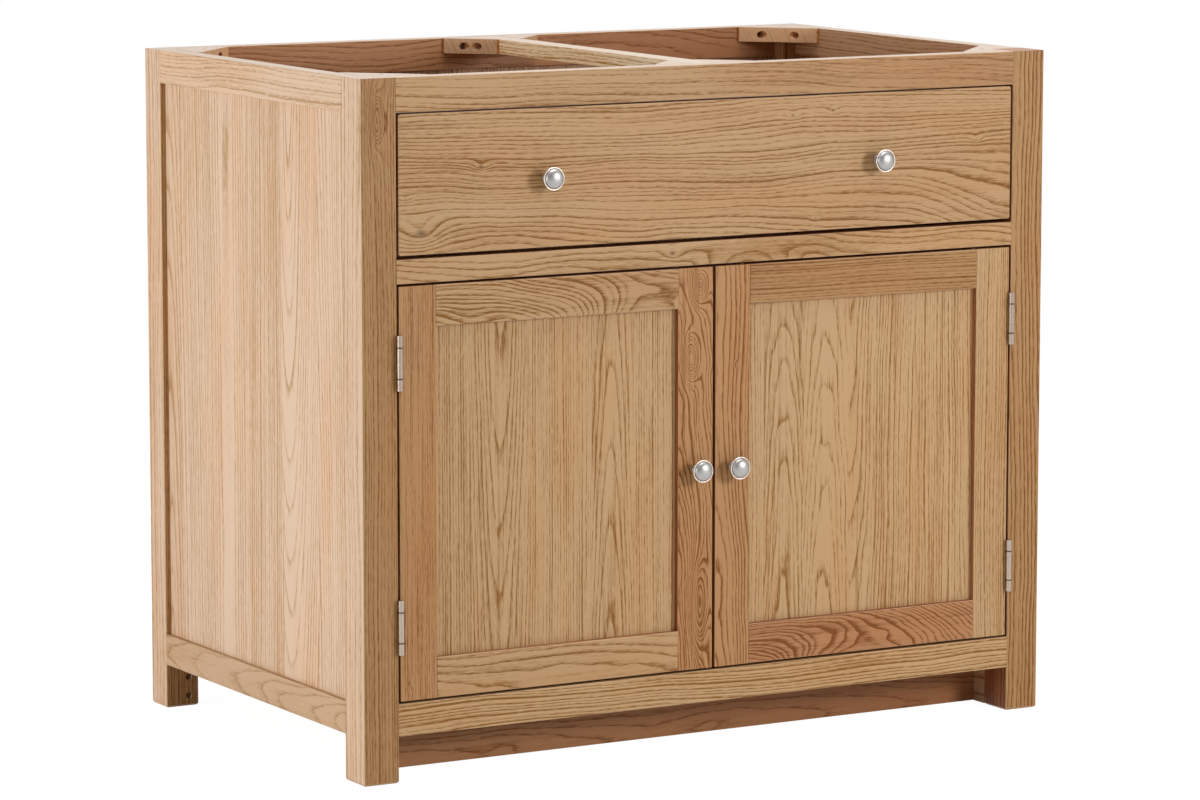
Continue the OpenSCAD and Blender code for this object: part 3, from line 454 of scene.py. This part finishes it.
class CabinetWood(PropertyGroup):
    """The lacquered oak"""

    ring_spacing: FloatProperty(
        name="Ring spacing", description="Factor on the spacing of the growth rings", default=0.85, min=0.3, max=3)
    contrast: FloatProperty(
        name="Contrast", description="Depth of the grain against the wood between", default=1.65, min=0, max=3)
    roughness: share_setting("Roughness", "Roughness of the lacquered face", 0.50)
    lacquer: share_setting("Lacquer", "Share of the clear coat", 0.12)
    side_strip: FloatProperty(
        name="Side strip", description="Width of a strip in the side panels", default=0.098, unit="LENGTH", min=0.02)
    side_calm: share_setting("Calm sides", "How much fainter the grain shows on the outer sides", 0.35)
    shelf_strip: FloatProperty(
        name="Shelf strip", description="Width of a strip in the shelf, floor and drawer bottom", default=0.088,
        unit="LENGTH", min=0.02)
    # outside is partly paler wood and partly painted sheen and side light on outward faces.
    outside: tone_setting("Outside", "Pale outer faces of the sides", 209, 178, 147)
    inside: tone_setting("Inside", "Faces inside the cabinet", 180, 138, 102)
    post: tone_setting("Post", "Front faces of the posts", 160, 119, 73)
    golden: tone_setting("Golden", "Front rails and the drawer front", 176, 139, 95)
    light: tone_setting("Light", "Palest boards of the doors", 180, 143, 98)
    brown: tone_setting("Brown", "Darker stiles of the doors", 168, 122, 76)
    deep: tone_setting("Deep", "Darkest rail of the doors", 164, 114, 72)
    # wear_and_highlight is partly wear and partly a painted highlight on rounded edges.
    wear_and_highlight: tone_setting("Worn", "Softened edges of the boards", 214, 184, 150)
    # drift_and_shade is a change of tone along most boards, and painted shade along the plinth.
    drift_and_shade: tone_setting("Drift", "How the far end of some boards is tinted", 222, 204, 186)
    # raw is painted light from above, on faces that look up.
    raw: tone_setting("Raw", "Unlacquered top faces", 238, 218, 200)
    # gap is painted shade on the edges that lie in a gap.
    gap: tone_setting("Gap", "How edges that lie in a gap are tinted", 205, 156, 130)
    block: tone_setting("Block", "Screwed blocks under the worktop", 184, 124, 72)
    # The pale cross rail tone is painted light, for the strong light on the rail's side.
    cross: tone_setting("Cross rail", "Rail across the open top", 242, 220, 182)
    knot: tone_setting("Knot", "Heart of a knot", 78, 46, 26)


class CabinetMetal(PropertyGroup):
    """Knobs, hinges and screws"""

    nickel: tone_setting("Nickel", "Satin nickel of the knobs", 186, 184, 181)
    nickel_roughness: share_setting("Nickel roughness", "Roughness of the knobs", 0.40)
    hinge: tone_setting("Hinge", "Plate of the hinges", 192, 176, 162)
    zinc: tone_setting("Zinc", "Plate of the inner screws", 176, 172, 164)


class CabinetStudio(PropertyGroup):
    """Floor, lamps and camera"""

    floor: FloatVectorProperty(
        name="Floor", description="Colour of the floor", subtype="COLOR", default=(0.84, 0.84, 0.84), min=0, max=1)
    floor_size: FloatProperty(
        name="Floor size", description="Length of the square floor", default=14.0, unit="LENGTH", min=4)
    ambient: FloatProperty(
        name="Ambient", description="Even light from all round", default=0.32, min=0, max=2)
    dark_front: share_setting(
        "Dark front", "How much darker the room is that metal mirrors in front of the cabinet", 0.6)
    left_lamp: FloatProperty(
        name="Left lamp", description="Power of the soft box on the left", default=58.0, unit="POWER", min=0)
    front_lamp: FloatProperty(
        name="Front lamp", description="Power of the soft box at the front right", default=49.0, unit="POWER", min=0)
    top_lamp: FloatProperty(
        name="Top lamp", description="Power of the soft box overhead", default=41.0, unit="POWER", min=0)
    camera_place: FloatVectorProperty(
        name="Camera place", description="Where the camera stands", subtype="XYZ", unit="LENGTH",
        default=(-3.3068, -5.7267, 1.3348))
    camera_turn: FloatVectorProperty(
        name="Camera turn", description="How far the camera is tipped, rolled and turned off the cabinet's depth",
        subtype="EULER", unit="ROTATION", default=(-0.1390, 0.0004, -0.5240))
    lens: FloatProperty(
        name="Lens", description="Focal length on a 36 mm wide sensor, in millimetres", default=152.47, min=10,
        max=500)


class CABINET_OT_posts(Operator):
    """Upright oak for the four posts"""

    bl_idname = "cabinet.posts"
    bl_label = "Posts"

    def execute(self, context):
        eye = (0.385, -0.003, 0.034, 0.0085, 0.032)
        oak("front_left_post", Z, Y, "post", "straight", eyes=(eye,), outside=0.9, top=0.85)
        # edges paints shade on the post's inner faces, in the door's gap and on the leg.
        oak("front_right_post", Z, Y, "post", "wavy", outside=0.6, inside=0.4, edges=0.8, top=0.85,
            heart=(0.060, 0.055), depth=1.3)
        oak("back_left_post", Z, Y, "post", "straight", outside=0.9, inside=0.5, top=0.85)
        oak("back_right_post", Z, Y, "post", "rift", outside=0.6, inside=0.8, top=0.85)
        return {"FINISHED"}


class CABINET_OT_rails(Operator):
    """Level oak for the rails of the carcass"""

    bl_idname = "cabinet.rails"
    bl_label = "Rails"

    def execute(self, context):
        oak("front_top_rail", X, Y, "golden", "rift", top=0.85, drift_and_shade=0.7, taper=0.05, depth=0.65)
        oak("front_mid_rail", X, Y, "golden", "wavy", edges=0.9, knots=((-0.062, 0.002, 0.004),),
            eyes=((0.05, -0.020, 0.060, 0.022, 0.024), (0.05, 0.0, 0.30, 0.2, 0.0)), ring=0.0062, depth=0.95)
        oak("front_bottom_rail", X, Y, "light", "rift", depth=1.5, ring=0.0046)
        oak("back_top_rail", X, Y, "deep", "wavy", top=0.85, drift_and_shade=0.7)
        oak("back_bottom_rail", X, Y, "inside", "straight")
        for side in ("left", "right"):
            oak(side + "_top_rail", Y, X, "golden", "rift", outside=0.9, inside=0.9, top=0.85)
            oak(side + "_bottom_rail", Y, X, "golden", "crown", outside=0.35, inside=0.9)
        return {"FINISHED"}


class CABINET_OT_side_panels(Operator):
    """Wide glued panels in the sides"""

    bl_idname = "cabinet.side_panels"
    bl_label = "Side panels"

    def execute(self, context):
        strip = context.scene.cabinet_wood.side_strip
        for side in ("left", "right"):
            oak(side + "_side_panel", Z, X, "light", "crown", strips=strip, outside=1.0, inside=1.0, heart=(0, 0.035),
                wander=0.008, wave=0.0016, ring=0.0066)
        return {"FINISHED"}


class CABINET_OT_back_boards(Operator):
    """Tongued boards of the back"""

    bl_idname = "cabinet.back_boards"
    bl_label = "Back boards"

    def execute(self, context):
        oak("back_boards", Z, Y, "inside", "rift", strips=0.0924)
        return {"FINISHED"}


class CABINET_OT_top_blocks(Operator):
    """Cross rail and the screwed blocks under the worktop"""

    bl_idname = "cabinet.top_blocks"
    bl_label = "Top blocks"

    def execute(self, context):
        # Its pale tone is painted light on the rail's side.
        oak("cross_rail", Y, X, "cross", "straight", top=0.9)
        oak("corner_blocks", X, Z, "block", "rift", strips=0.31, top=0.9)
        oak("cross_rail_blocks", X, Z, "block", "straight", strips=0.31, top=0.9)
        return {"FINISHED"}


class CABINET_OT_base(Operator):
    """Cabinet floor, its cleats, the plinth and its blocks"""

    bl_idname = "cabinet.base"
    bl_label = "Base"

    def execute(self, context):
        oak("cabinet_floor", X, Z, "golden", "rift", strips=context.scene.cabinet_wood.shelf_strip)
        oak("floor_cleats", X, Y, "inside", "straight")
        # The plinth's deep tone and its drift_and_shade are painted shade, for the shade under the cabinet.
        oak("plinth", X, Y, "deep", "wavy", drift_and_shade=0.9)
        oak("plinth_blocks", Y, X, "inside", "straight")
        return {"FINISHED"}


class CABINET_OT_shelf(Operator):
    """Shelf and its cleats"""

    bl_idname = "cabinet.shelf"
    bl_label = "Shelf"

    def execute(self, context):
        oak("shelf", X, Z, "golden", "rift", strips=context.scene.cabinet_wood.shelf_strip)
        oak("shelf_cleats", Y, X, "inside", "straight")
        return {"FINISHED"}


class CABINET_OT_drawer_front(Operator):
    """The wide board of the drawer front with its knots"""

    bl_idname = "cabinet.drawer_front"
    bl_label = "Drawer front"

    def execute(self, context):
        sweep = (0.480, -0.090, 0.14, 0.080, 0.035)
        knots = (
            (-0.335, 0.018, 0.0035), (0.115, 0.062, 0.0028), (0.175, 0.066, 0.0026),
            (0.395, 0.020, 0.0024), (-0.418, -0.060, 0.0080), (-0.440, -0.018, 0.0024), (0.150, -0.070, 0.0020),
        )
        oak("drawer_front", X, Y, "golden", "wavy", knots=knots, eyes=(sweep,), edges=0.9, drift_and_shade=0.25,
            heart=(0.130, 0.060), taper=0.02)
        return {"FINISHED"}


class CABINET_OT_drawer_box(Operator):
    """Sides, back and bottom of the drawer, and the runners it slides on"""

    bl_idname = "cabinet.drawer_box"
    bl_label = "Drawer box"

    def execute(self, context):
        for side in ("left", "right"):
            oak("drawer_" + side + "_side", Y, X, "light", "straight")
        oak("drawer_back", X, Y, "light", "straight")
        oak("drawer_bottom", X, Z, "light", "rift", strips=context.scene.cabinet_wood.shelf_strip)
        oak("drawer_runners", Y, X, "inside", "straight")
        return {"FINISHED"}


class CABINET_OT_door_frames(Operator):
    """Stiles and rails of both doors, each its own board"""

    bl_idname = "cabinet.door_frames"
    bl_label = "Door frames"

    def execute(self, context):
        eyes = ((0.233, 0.005, 0.022, 0.011, 0.030), (0.140, -0.008, 0.028, 0.011, 0.034),
                (-0.175, 0.005, 0.060, 0.013, 0.034))
        oak("left_door_hinge_stile", Z, Y, "brown", "plain", edges=0.9, knots=((-0.235, -0.014, 0.0022),))
        oak("left_door_meeting_stile", Z, Y, "brown", "curly", edges=0.9, eyes=eyes, ring=0.0043, depth=1.9,
            crisp=3.0)
        hills = ((0.110, -0.036, 0.075, 0.042, 0.040), (-0.130, -0.030, 0.040, 0.026, 0.016))
        oak("left_door_top_rail", X, Y, "golden", "curly", eyes=hills, edges=0.9, drift_and_shade=0.3, wave=0.0040, taper=0.25,
            ring=0.0058)
        oak("left_door_bottom_rail", X, Y, "golden", "wavy", edges=0.9, ring=0.0074)
        oak("right_door_meeting_stile", Z, Y, "brown", "wavy", edges=0.9, knots=((0.13, 0.004, 0.0014),), depth=1.4,
            ring=0.0050)
        oak("right_door_hinge_stile", Z, Y, "golden", "straight", edges=0.9)
        oak("right_door_top_rail", X, Y, "post", "straight", edges=0.9)
        oak("right_door_bottom_rail", X, Y, "deep", "curly", eyes=((-0.06, -0.040, 0.10, 0.045, 0.040),), edges=0.9,
            wave=0.0050, taper=0.30, ring=0.0034, depth=2.0, crisp=3.0)
        return {"FINISHED"}


# The strips of the door panels: where each starts, where its log's heart lies, both from the
# panel's middle in metres, how fast its rings close in along it, and how much darker it is.
LEFT_STRIPS = (
    (-0.180, -0.270, 0.01, 0.10), (-0.1195, -0.080, -0.035, 0.10), (-0.0385, 0.130, 0.01, -0.40),
    (0.0515, 0.080, 0.040, 0.05), (0.1105, 0.260, -0.01, -0.25),
)
RIGHT_STRIPS = (
    (-0.180, -0.260, 0.01, -0.35), (-0.1465, -0.117, 0.050, 0.20), (-0.0865, -0.052, 0.060, -0.40),
    (-0.0185, -0.020, -0.050, -0.10), (0.0805, 0.200, -0.03, 0.0),
)


class CABINET_OT_door_panels(Operator):
    """Glued panels of the doors"""

    bl_idname = "cabinet.door_panels"
    bl_label = "Door panels"

    def execute(self, context):
        oak("left_door_panel", Z, Y, "light", "crown", strips=LEFT_STRIPS, heart=(0, 0.030), wander=0.005, wave=0.0012,
            ring=0.0046, crisp=2.4, depth=0.90, fibre=1.7)
        oak("right_door_panel", Z, Y, "light", "crown", strips=RIGHT_STRIPS, heart=(0, 0.032), wander=0.010,
            wave=0.0022, ripple=0.0042, ring=0.0050, crisp=2.4, depth=0.85, fibre=1.6)
        return {"FINISHED"}


# Plated metal: waves a metre of its fine marks, along and across them, and of its clouds, the
# tint of a cloud and how strong it shows, what marks and clouds add to the roughness, and half of
# that, which is taken off again.
MARKS_ALONG, MARKS_ACROSS, CLOUD_WAVES = 60.0, 2600.0, 120.0
CLOUD_TINT, CLOUD_SHARE = (0.86, 0.86, 0.86), 0.8
MARK_ROUGH, CLOUD_ROUGH, HALF_ROUGH = 0.16, 0.10, 0.13


def plated(name, colour, roughness, brushed, relief=0.00003, finish=None):
    """Plated metal with fine marks, of a relief in metres.

    brushed is the axis along which they run. finish, if given, changes the colour over the piece.
    """
    recipe = Recipe(bpy.data.materials.new(name))
    place = recipe.place()
    waves = [MARKS_ALONG if axis == brushed else MARKS_ACROSS for axis in (X, Y, Z)]
    marks = recipe.noise([wire * wave for wire, wave in zip(place, waves)], 2.0, 0.6)
    cloud = recipe.noise([wire * CLOUD_WAVES for wire in place])
    plate = recipe.blend(colour, tinted(colour, *CLOUD_TINT), (cloud * CLOUD_SHARE).clamped())
    recipe.surface({
        "Base Color": finish(recipe, place, plate) if finish else plate,
        "Metallic": 1.0,
        "Roughness": (marks * MARK_ROUGH + cloud * CLOUD_ROUGH + (roughness - HALF_ROUGH)).clamped(),
        "Normal": recipe.bump(marks, relief),
    })
    return recipe.owner


# The knob's outline, in millimetres from its foot and from its axis. The bends are the powers
# with which the back of its head and its foot curve away from the neck. A line of painted shade
# lies in the groove between dome and rim, GROOVE_OUT beyond the dome, over about GROOVE_WIDTH each way.
KNOB_REACH = 26.0
DOME_R, DOME_H = 12.7, 6.5
RIM_AT, RIM_R, RIM_ROUND = 19.2, 14.5, 0.9
UNDER_R, NECK_R, NECK_AT, FOOT_R, FOOT_H = 13.0, 4.0, 8.0, 6.0, 2.0
UNDER_BEND, FOOT_BEND = 4.5, 2.2
GROOVE_POINT = (RIM_AT + RIM_ROUND * 0.15, DOME_R + 0.08)
GROOVE_OUT, GROOVE_WIDTH = 0.1, 0.25
KNOB_SIDES = 96


def knob_outline():
    """Points of the turned outline from the dome's tip to the foot, in metres."""
    points = []
    for turn in map(math.radians, range(5, 91, 5)):
        points.append((KNOB_REACH - DOME_H * (1 - math.cos(turn)), DOME_R * math.sin(turn)))
    points.append(GROOVE_POINT)
    for turn in map(math.radians, range(145, -111, -15)):
        points.append((RIM_AT + RIM_ROUND * math.sin(turn), RIM_R - RIM_ROUND + RIM_ROUND * math.cos(turn)))
    top = RIM_AT - RIM_ROUND
    for step in range(1, 17):
        down = step / 16
        points.append((top - (top - NECK_AT) * down, NECK_R + (UNDER_R - NECK_R) * (1 - down) ** UNDER_BEND))
    for step in range(1, 9):
        down = step / 8
        points.append((NECK_AT - (NECK_AT - FOOT_H) * down, NECK_R + (FOOT_R - 0.5 - NECK_R) * down ** FOOT_BEND))
    points += [(FOOT_H - 0.05, FOOT_R - 0.15), (FOOT_H - 0.35, FOOT_R), (0.0, FOOT_R)]
    return [(out / 1000, wide / 1000) for out, wide in points]


# Plate with a painted highlight, under painted shade, or in painted shadow at a hinge's knuckles,
# as linear numbers, and how strong the painted shade is on a knob.
RIM_HIGHLIGHT, KNOB_SHADE, SHADOWED = (0.90, 0.80, 0.74), (0.10, 0.08, 0.07), (0.05, 0.03, 0.02)
KNOB_SHADE_SHARE = 0.8


def rim_highlight_and_shade(recipe, place, plate):
    """A knob's colour: a painted highlight on its rim, and painted shade in its groove, on its neck and behind its
    head.
    """
    wide = (place[X] * place[X] + place[Z] * place[Z]).root() * 1000.0
    out = place[Y] * -1000.0
    head = out.rises(RIM_AT - RIM_ROUND, RIM_AT - RIM_ROUND * 0.5)
    foot = 1.0 - out.rises(FOOT_H, FOOT_H + 0.4)
    plate = recipe.blend(plate, RIM_HIGHLIGHT, wide.rises(DOME_R + 0.3, DOME_R + 0.7) * head)
    groove = ((wide - DOME_R - GROOVE_OUT) / GROOVE_WIDTH).bell() * head
    return recipe.blend(plate, KNOB_SHADE, (groove * KNOB_SHADE_SHARE + (1.0 - head) * (1.0 - foot) * KNOB_SHADE_SHARE).clamped())


def turned_knob(node, body, material):
    """Turns a smooth knob on the place of the CAD's, its axis towards the front."""
    low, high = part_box(node)
    shape = bmesh.new()
    tip = shape.verts.new((0.0, -KNOB_REACH / 1000, 0.0))
    rings = []
    for out, wide in knob_outline():
        turns = (math.tau * side / KNOB_SIDES for side in range(KNOB_SIDES))
        rings.append([shape.verts.new((wide * math.cos(turn), -out, wide * math.sin(turn))) for turn in turns])
    for side in range(KNOB_SIDES):
        after = (side + 1) % KNOB_SIDES
        shape.faces.new((tip, rings[0][side], rings[0][after]))
        for inner, outer in zip(rings, rings[1:]):
            shape.faces.new((inner[side], outer[side], outer[after], inner[after]))
    shape.faces.new(rings[-1])
    bmesh.ops.recalc_face_normals(shape, faces=shape.faces)
    for face in shape.faces:
        face.smooth = len(face.verts) < 5
    mesh = bpy.data.meshes.new(node + "_turned")
    shape.to_mesh(mesh)
    shape.free()
    mesh.materials.append(material)
    knob = bpy.data.objects.new(node + "_turned", mesh)
    knob.location = ((low[X] + high[X]) / 2, high[Y], (low[Z] + high[Z]) / 2)
    bpy.context.scene.collection.objects.link(knob)
    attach(knob, body)
    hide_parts(node)


class CABINET_OT_knobs(Operator):
    """Four turned knobs of satin nickel"""

    bl_idname = "cabinet.knobs"
    bl_label = "Knobs"

    def execute(self, context):
        metal = context.scene.cabinet_metal
        nickel = plated(
            "satin_nickel", metal.nickel, metal.nickel_roughness, brushed=Y, relief=0.000002, finish=rim_highlight_and_shade)
        for node, body in (("drawer_left_knob", "drawer"), ("drawer_right_knob", "drawer"),
                           ("left_door_knob", "left_door"), ("right_door_knob", "right_door")):
            turned_knob(node, body, nickel)
        return {"FINISHED"}


# Heights at which the hinges' knuckles meet, how wide the painted shadow line there is, and the
# depth in front of which only their barrels lie.
KNUCKLE_JOINTS = (0.17585, 0.21415, 0.50285, 0.54115)
JOINT_WIDTH = 0.0009
BARREL_FRONT = -0.2935


def knuckle_shadow_lines(recipe, place, plate):
    """A hinge's colour, with painted shadow where its knuckles meet."""
    lines = 0.0
    for height in KNUCKLE_JOINTS:
        lines = ((place[Z] - height) / JOINT_WIDTH).bell() + lines
    return recipe.blend(plate, SHADOWED, (lines * place[Y].math("LESS_THAN", BARREL_FRONT)).clamped())


class CABINET_OT_hinges(Operator):
    """Leaves, pins and screws of the butt hinges"""

    bl_idname = "cabinet.hinges"
    bl_label = "Hinges"

    def execute(self, context):
        metal = context.scene.cabinet_metal
        leaf = plated(
            "hinge_plate", metal.hinge, roughness=0.26, brushed=Z, relief=0.000008, finish=knuckle_shadow_lines)
        for side in ("left", "right"):
            for part in ("_hinge_post_leaves", "_hinge_door_leaves", "_hinge_pins"):
                dress(side + part, leaf)
        dress("hinge_post_screws", leaf)
        return {"FINISHED"}


class CABINET_OT_screws(Operator):
    """Zinc for the inner screws and strike plates"""

    bl_idname = "cabinet.screws"
    bl_label = "Screws"

    def execute(self, context):
        zinc = plated("zinc_plate", context.scene.cabinet_metal.zinc, roughness=0.38, brushed=Z)
        for node in ("block_screws", "runner_screws", "drawer_knob_screws", "left_door_screws",
                     "right_door_screws", "left_door_strike", "right_door_strike"):
            dress(node, zinc)
        return {"FINISHED"}


class CABINET_OT_catches(Operator):
    """Moulded cases of the magnetic catches"""

    bl_idname = "cabinet.catches"
    bl_label = "Catches"

    def execute(self, context):
        recipe = Recipe(bpy.data.materials.new("catch_case"))
        grain = recipe.noise([wire * 900.0 for wire in recipe.place()], 3.0)
        recipe.surface({
            "Base Color": recipe.blend(linear(92, 62, 44), linear(70, 46, 32), grain.clamped()),
            "Roughness": (grain * 0.2 + 0.42).clamped(),
            "Normal": recipe.bump(grain, 0.00004),
        })
        dress("door_catches", recipe.owner)
        return {"FINISHED"}


def rays(recipe):
    """1 for rays from the camera, and 1 for those mirrored or let through by the object."""
    path = recipe.node("ShaderNodeLightPath", {}, {}, None)
    camera, glossy, clear = (
        Wire(recipe, path.outputs[kind]) for kind in ("Is Camera Ray", "Is Glossy Ray", "Is Transmission Ray"))
    return camera, (glossy + clear).clamped()


def soft_box(name, place, aim, width, height, power):
    """A soft lamp that looks at aim, and that the camera doesn't see."""
    lamp = bpy.data.lights.new(name, "AREA")
    lamp.shape = "RECTANGLE"
    lamp.size = width
    lamp.size_y = height
    lamp.energy = power
    holder = bpy.data.objects.new(name, lamp)
    holder.location = place
    holder.rotation_euler = (Vector(aim) - Vector(place)).to_track_quat("-Z", "Y").to_euler()
    holder.visible_camera = False
    bpy.context.scene.collection.objects.link(holder)


# Each lamp's place, what it faces, its width and its height, in metres.
LAMPS = {
    "left": ((-3.5, 0.1, 0.85), (-0.5, 0.0, 0.45), 2.4, 1.2),
    "front": ((1.55, -3.05, 1.35), (0.0, -0.3, 0.45), 0.8, 0.8),
    "top": ((0.2, -0.6, 3.3), (0.0, 0.0, 0.8), 2.2, 1.6),
}

# How white the floor glows, how far that shows to the camera and in metal, and how bright the room
# is that metal mirrors.
FLOOR_GLOW, FLOOR_SEEN, FLOOR_MIRRORED, ROOM_GLOW = 1.2, 0.80, 0.60, 0.85


class CABINET_OT_studio(Operator):
    """White floor and surroundings, soft lamps and the camera"""

    bl_idname = "cabinet.studio"
    bl_label = "Studio"

    def execute(self, context):
        studio = context.scene.cabinet_studio
        self.make_floor(context.scene, studio)
        self.make_world(context.scene, studio)
        for name, (place, aim, width, height) in LAMPS.items():
            soft_box("lamp_" + name, place, aim, width, height, getattr(studio, name + "_lamp"))
        self.make_camera(context.scene, studio)
        context.scene.view_settings.view_transform = "Standard"
        return {"FINISHED"}

    def make_floor(self, scene, studio):
        mesh = bpy.data.meshes.new("floor")
        shape = bmesh.new()
        bmesh.ops.create_grid(shape, x_segments=1, y_segments=1, size=studio.floor_size / 2)
        shape.to_mesh(mesh)
        shape.free()
        floor = bpy.data.objects.new("floor", mesh)
        scene.collection.objects.link(floor)
        recipe = Recipe(bpy.data.materials.new("floor_white"))
        camera, mirrored = rays(recipe)
        matt = recipe.node("ShaderNodeBsdfDiffuse", {}, {"Color": (*studio.floor, 1.0)})
        white = recipe.node("ShaderNodeEmission", {}, {"Color": (1, 1, 1, 1), "Strength": FLOOR_GLOW})
        lit = camera * FLOOR_SEEN + mirrored * FLOOR_MIRRORED
        recipe.output(recipe.node("ShaderNodeMixShader", {}, {"Fac": lit, 1: matt, 2: white}))
        mesh.materials.append(recipe.owner)

    def make_world(self, scene, studio):
        world = bpy.data.worlds.new("studio")
        scene.world = world
        recipe = Recipe(world)
        camera, mirrored = rays(recipe)
        way = recipe.parts(recipe.node("ShaderNodeTexCoord", {}, {}, "Generated"))
        room = (1.0 - (0.0 - way[Y]).rises(0.0, 0.8) * studio.dark_front) * ROOM_GLOW
        rest = 1.0 - (camera + mirrored)
        strength = camera + mirrored * room + rest * studio.ambient
        recipe.output(recipe.node("ShaderNodeBackground", {}, {"Color": (1, 1, 1, 1), "Strength": strength}))

    def make_camera(self, scene, studio):
        data = bpy.data.cameras.new("camera")
        data.sensor_width = 36.0
        data.lens = studio.lens
        data.clip_end = 100.0
        camera = bpy.data.objects.new("camera", data)
        scene.collection.objects.link(camera)
        tip, roll, turn = studio.camera_turn
        level = Euler((math.pi / 2 + tip, 0.0, turn)).to_matrix().to_4x4()
        camera.matrix_world = Matrix.Translation(studio.camera_place) @ level @ Matrix.Rotation(roll, 4, "Z")
        scene.camera = camera


STEPS = (
    CABINET_OT_posts, CABINET_OT_rails, CABINET_OT_side_panels, CABINET_OT_back_boards,
    CABINET_OT_top_blocks, CABINET_OT_base, CABINET_OT_shelf, CABINET_OT_drawer_front,
    CABINET_OT_drawer_box, CABINET_OT_door_frames, CABINET_OT_door_panels, CABINET_OT_knobs,
    CABINET_OT_hinges, CABINET_OT_screws, CABINET_OT_catches, CABINET_OT_studio,
)


class CABINET_PT_looks(Panel):
    """Sidebar panel with the steps and their settings"""

    bl_idname = "CABINET_PT_looks"
    bl_label = "Oak Base Cabinet"
    bl_space_type = "VIEW_3D"
    bl_region_type = "UI"
    bl_category = "Cabinet"

    def draw(self, context):
        for group in (context.scene.cabinet_wood, context.scene.cabinet_metal, context.scene.cabinet_studio):
            box = self.layout.box()
            for name in group.__annotations__:
                box.prop(group, name)
        for step in STEPS:
            self.layout.operator(step.bl_idname)


CLASSES = (CabinetWood, CabinetMetal, CabinetStudio, *STEPS, CABINET_PT_looks)


def register():
    for cls in CLASSES:
        bpy.utils.register_class(cls)
    bpy.types.Scene.cabinet_wood = PointerProperty(type=CabinetWood)
    bpy.types.Scene.cabinet_metal = PointerProperty(type=CabinetMetal)
    bpy.types.Scene.cabinet_studio = PointerProperty(type=CabinetStudio)


def unregister():
    del bpy.types.Scene.cabinet_studio
    del bpy.types.Scene.cabinet_metal
    del bpy.types.Scene.cabinet_wood
    for cls in reversed(CLASSES):
        bpy.utils.unregister_class(cls)


def main():
    """Dresses the cabinet step by step."""
    register()
    for step in STEPS:
        group, name = step.bl_idname.split(".")
        getattr(getattr(bpy.ops, group), name)()


if __name__ == "__main__":
    main()
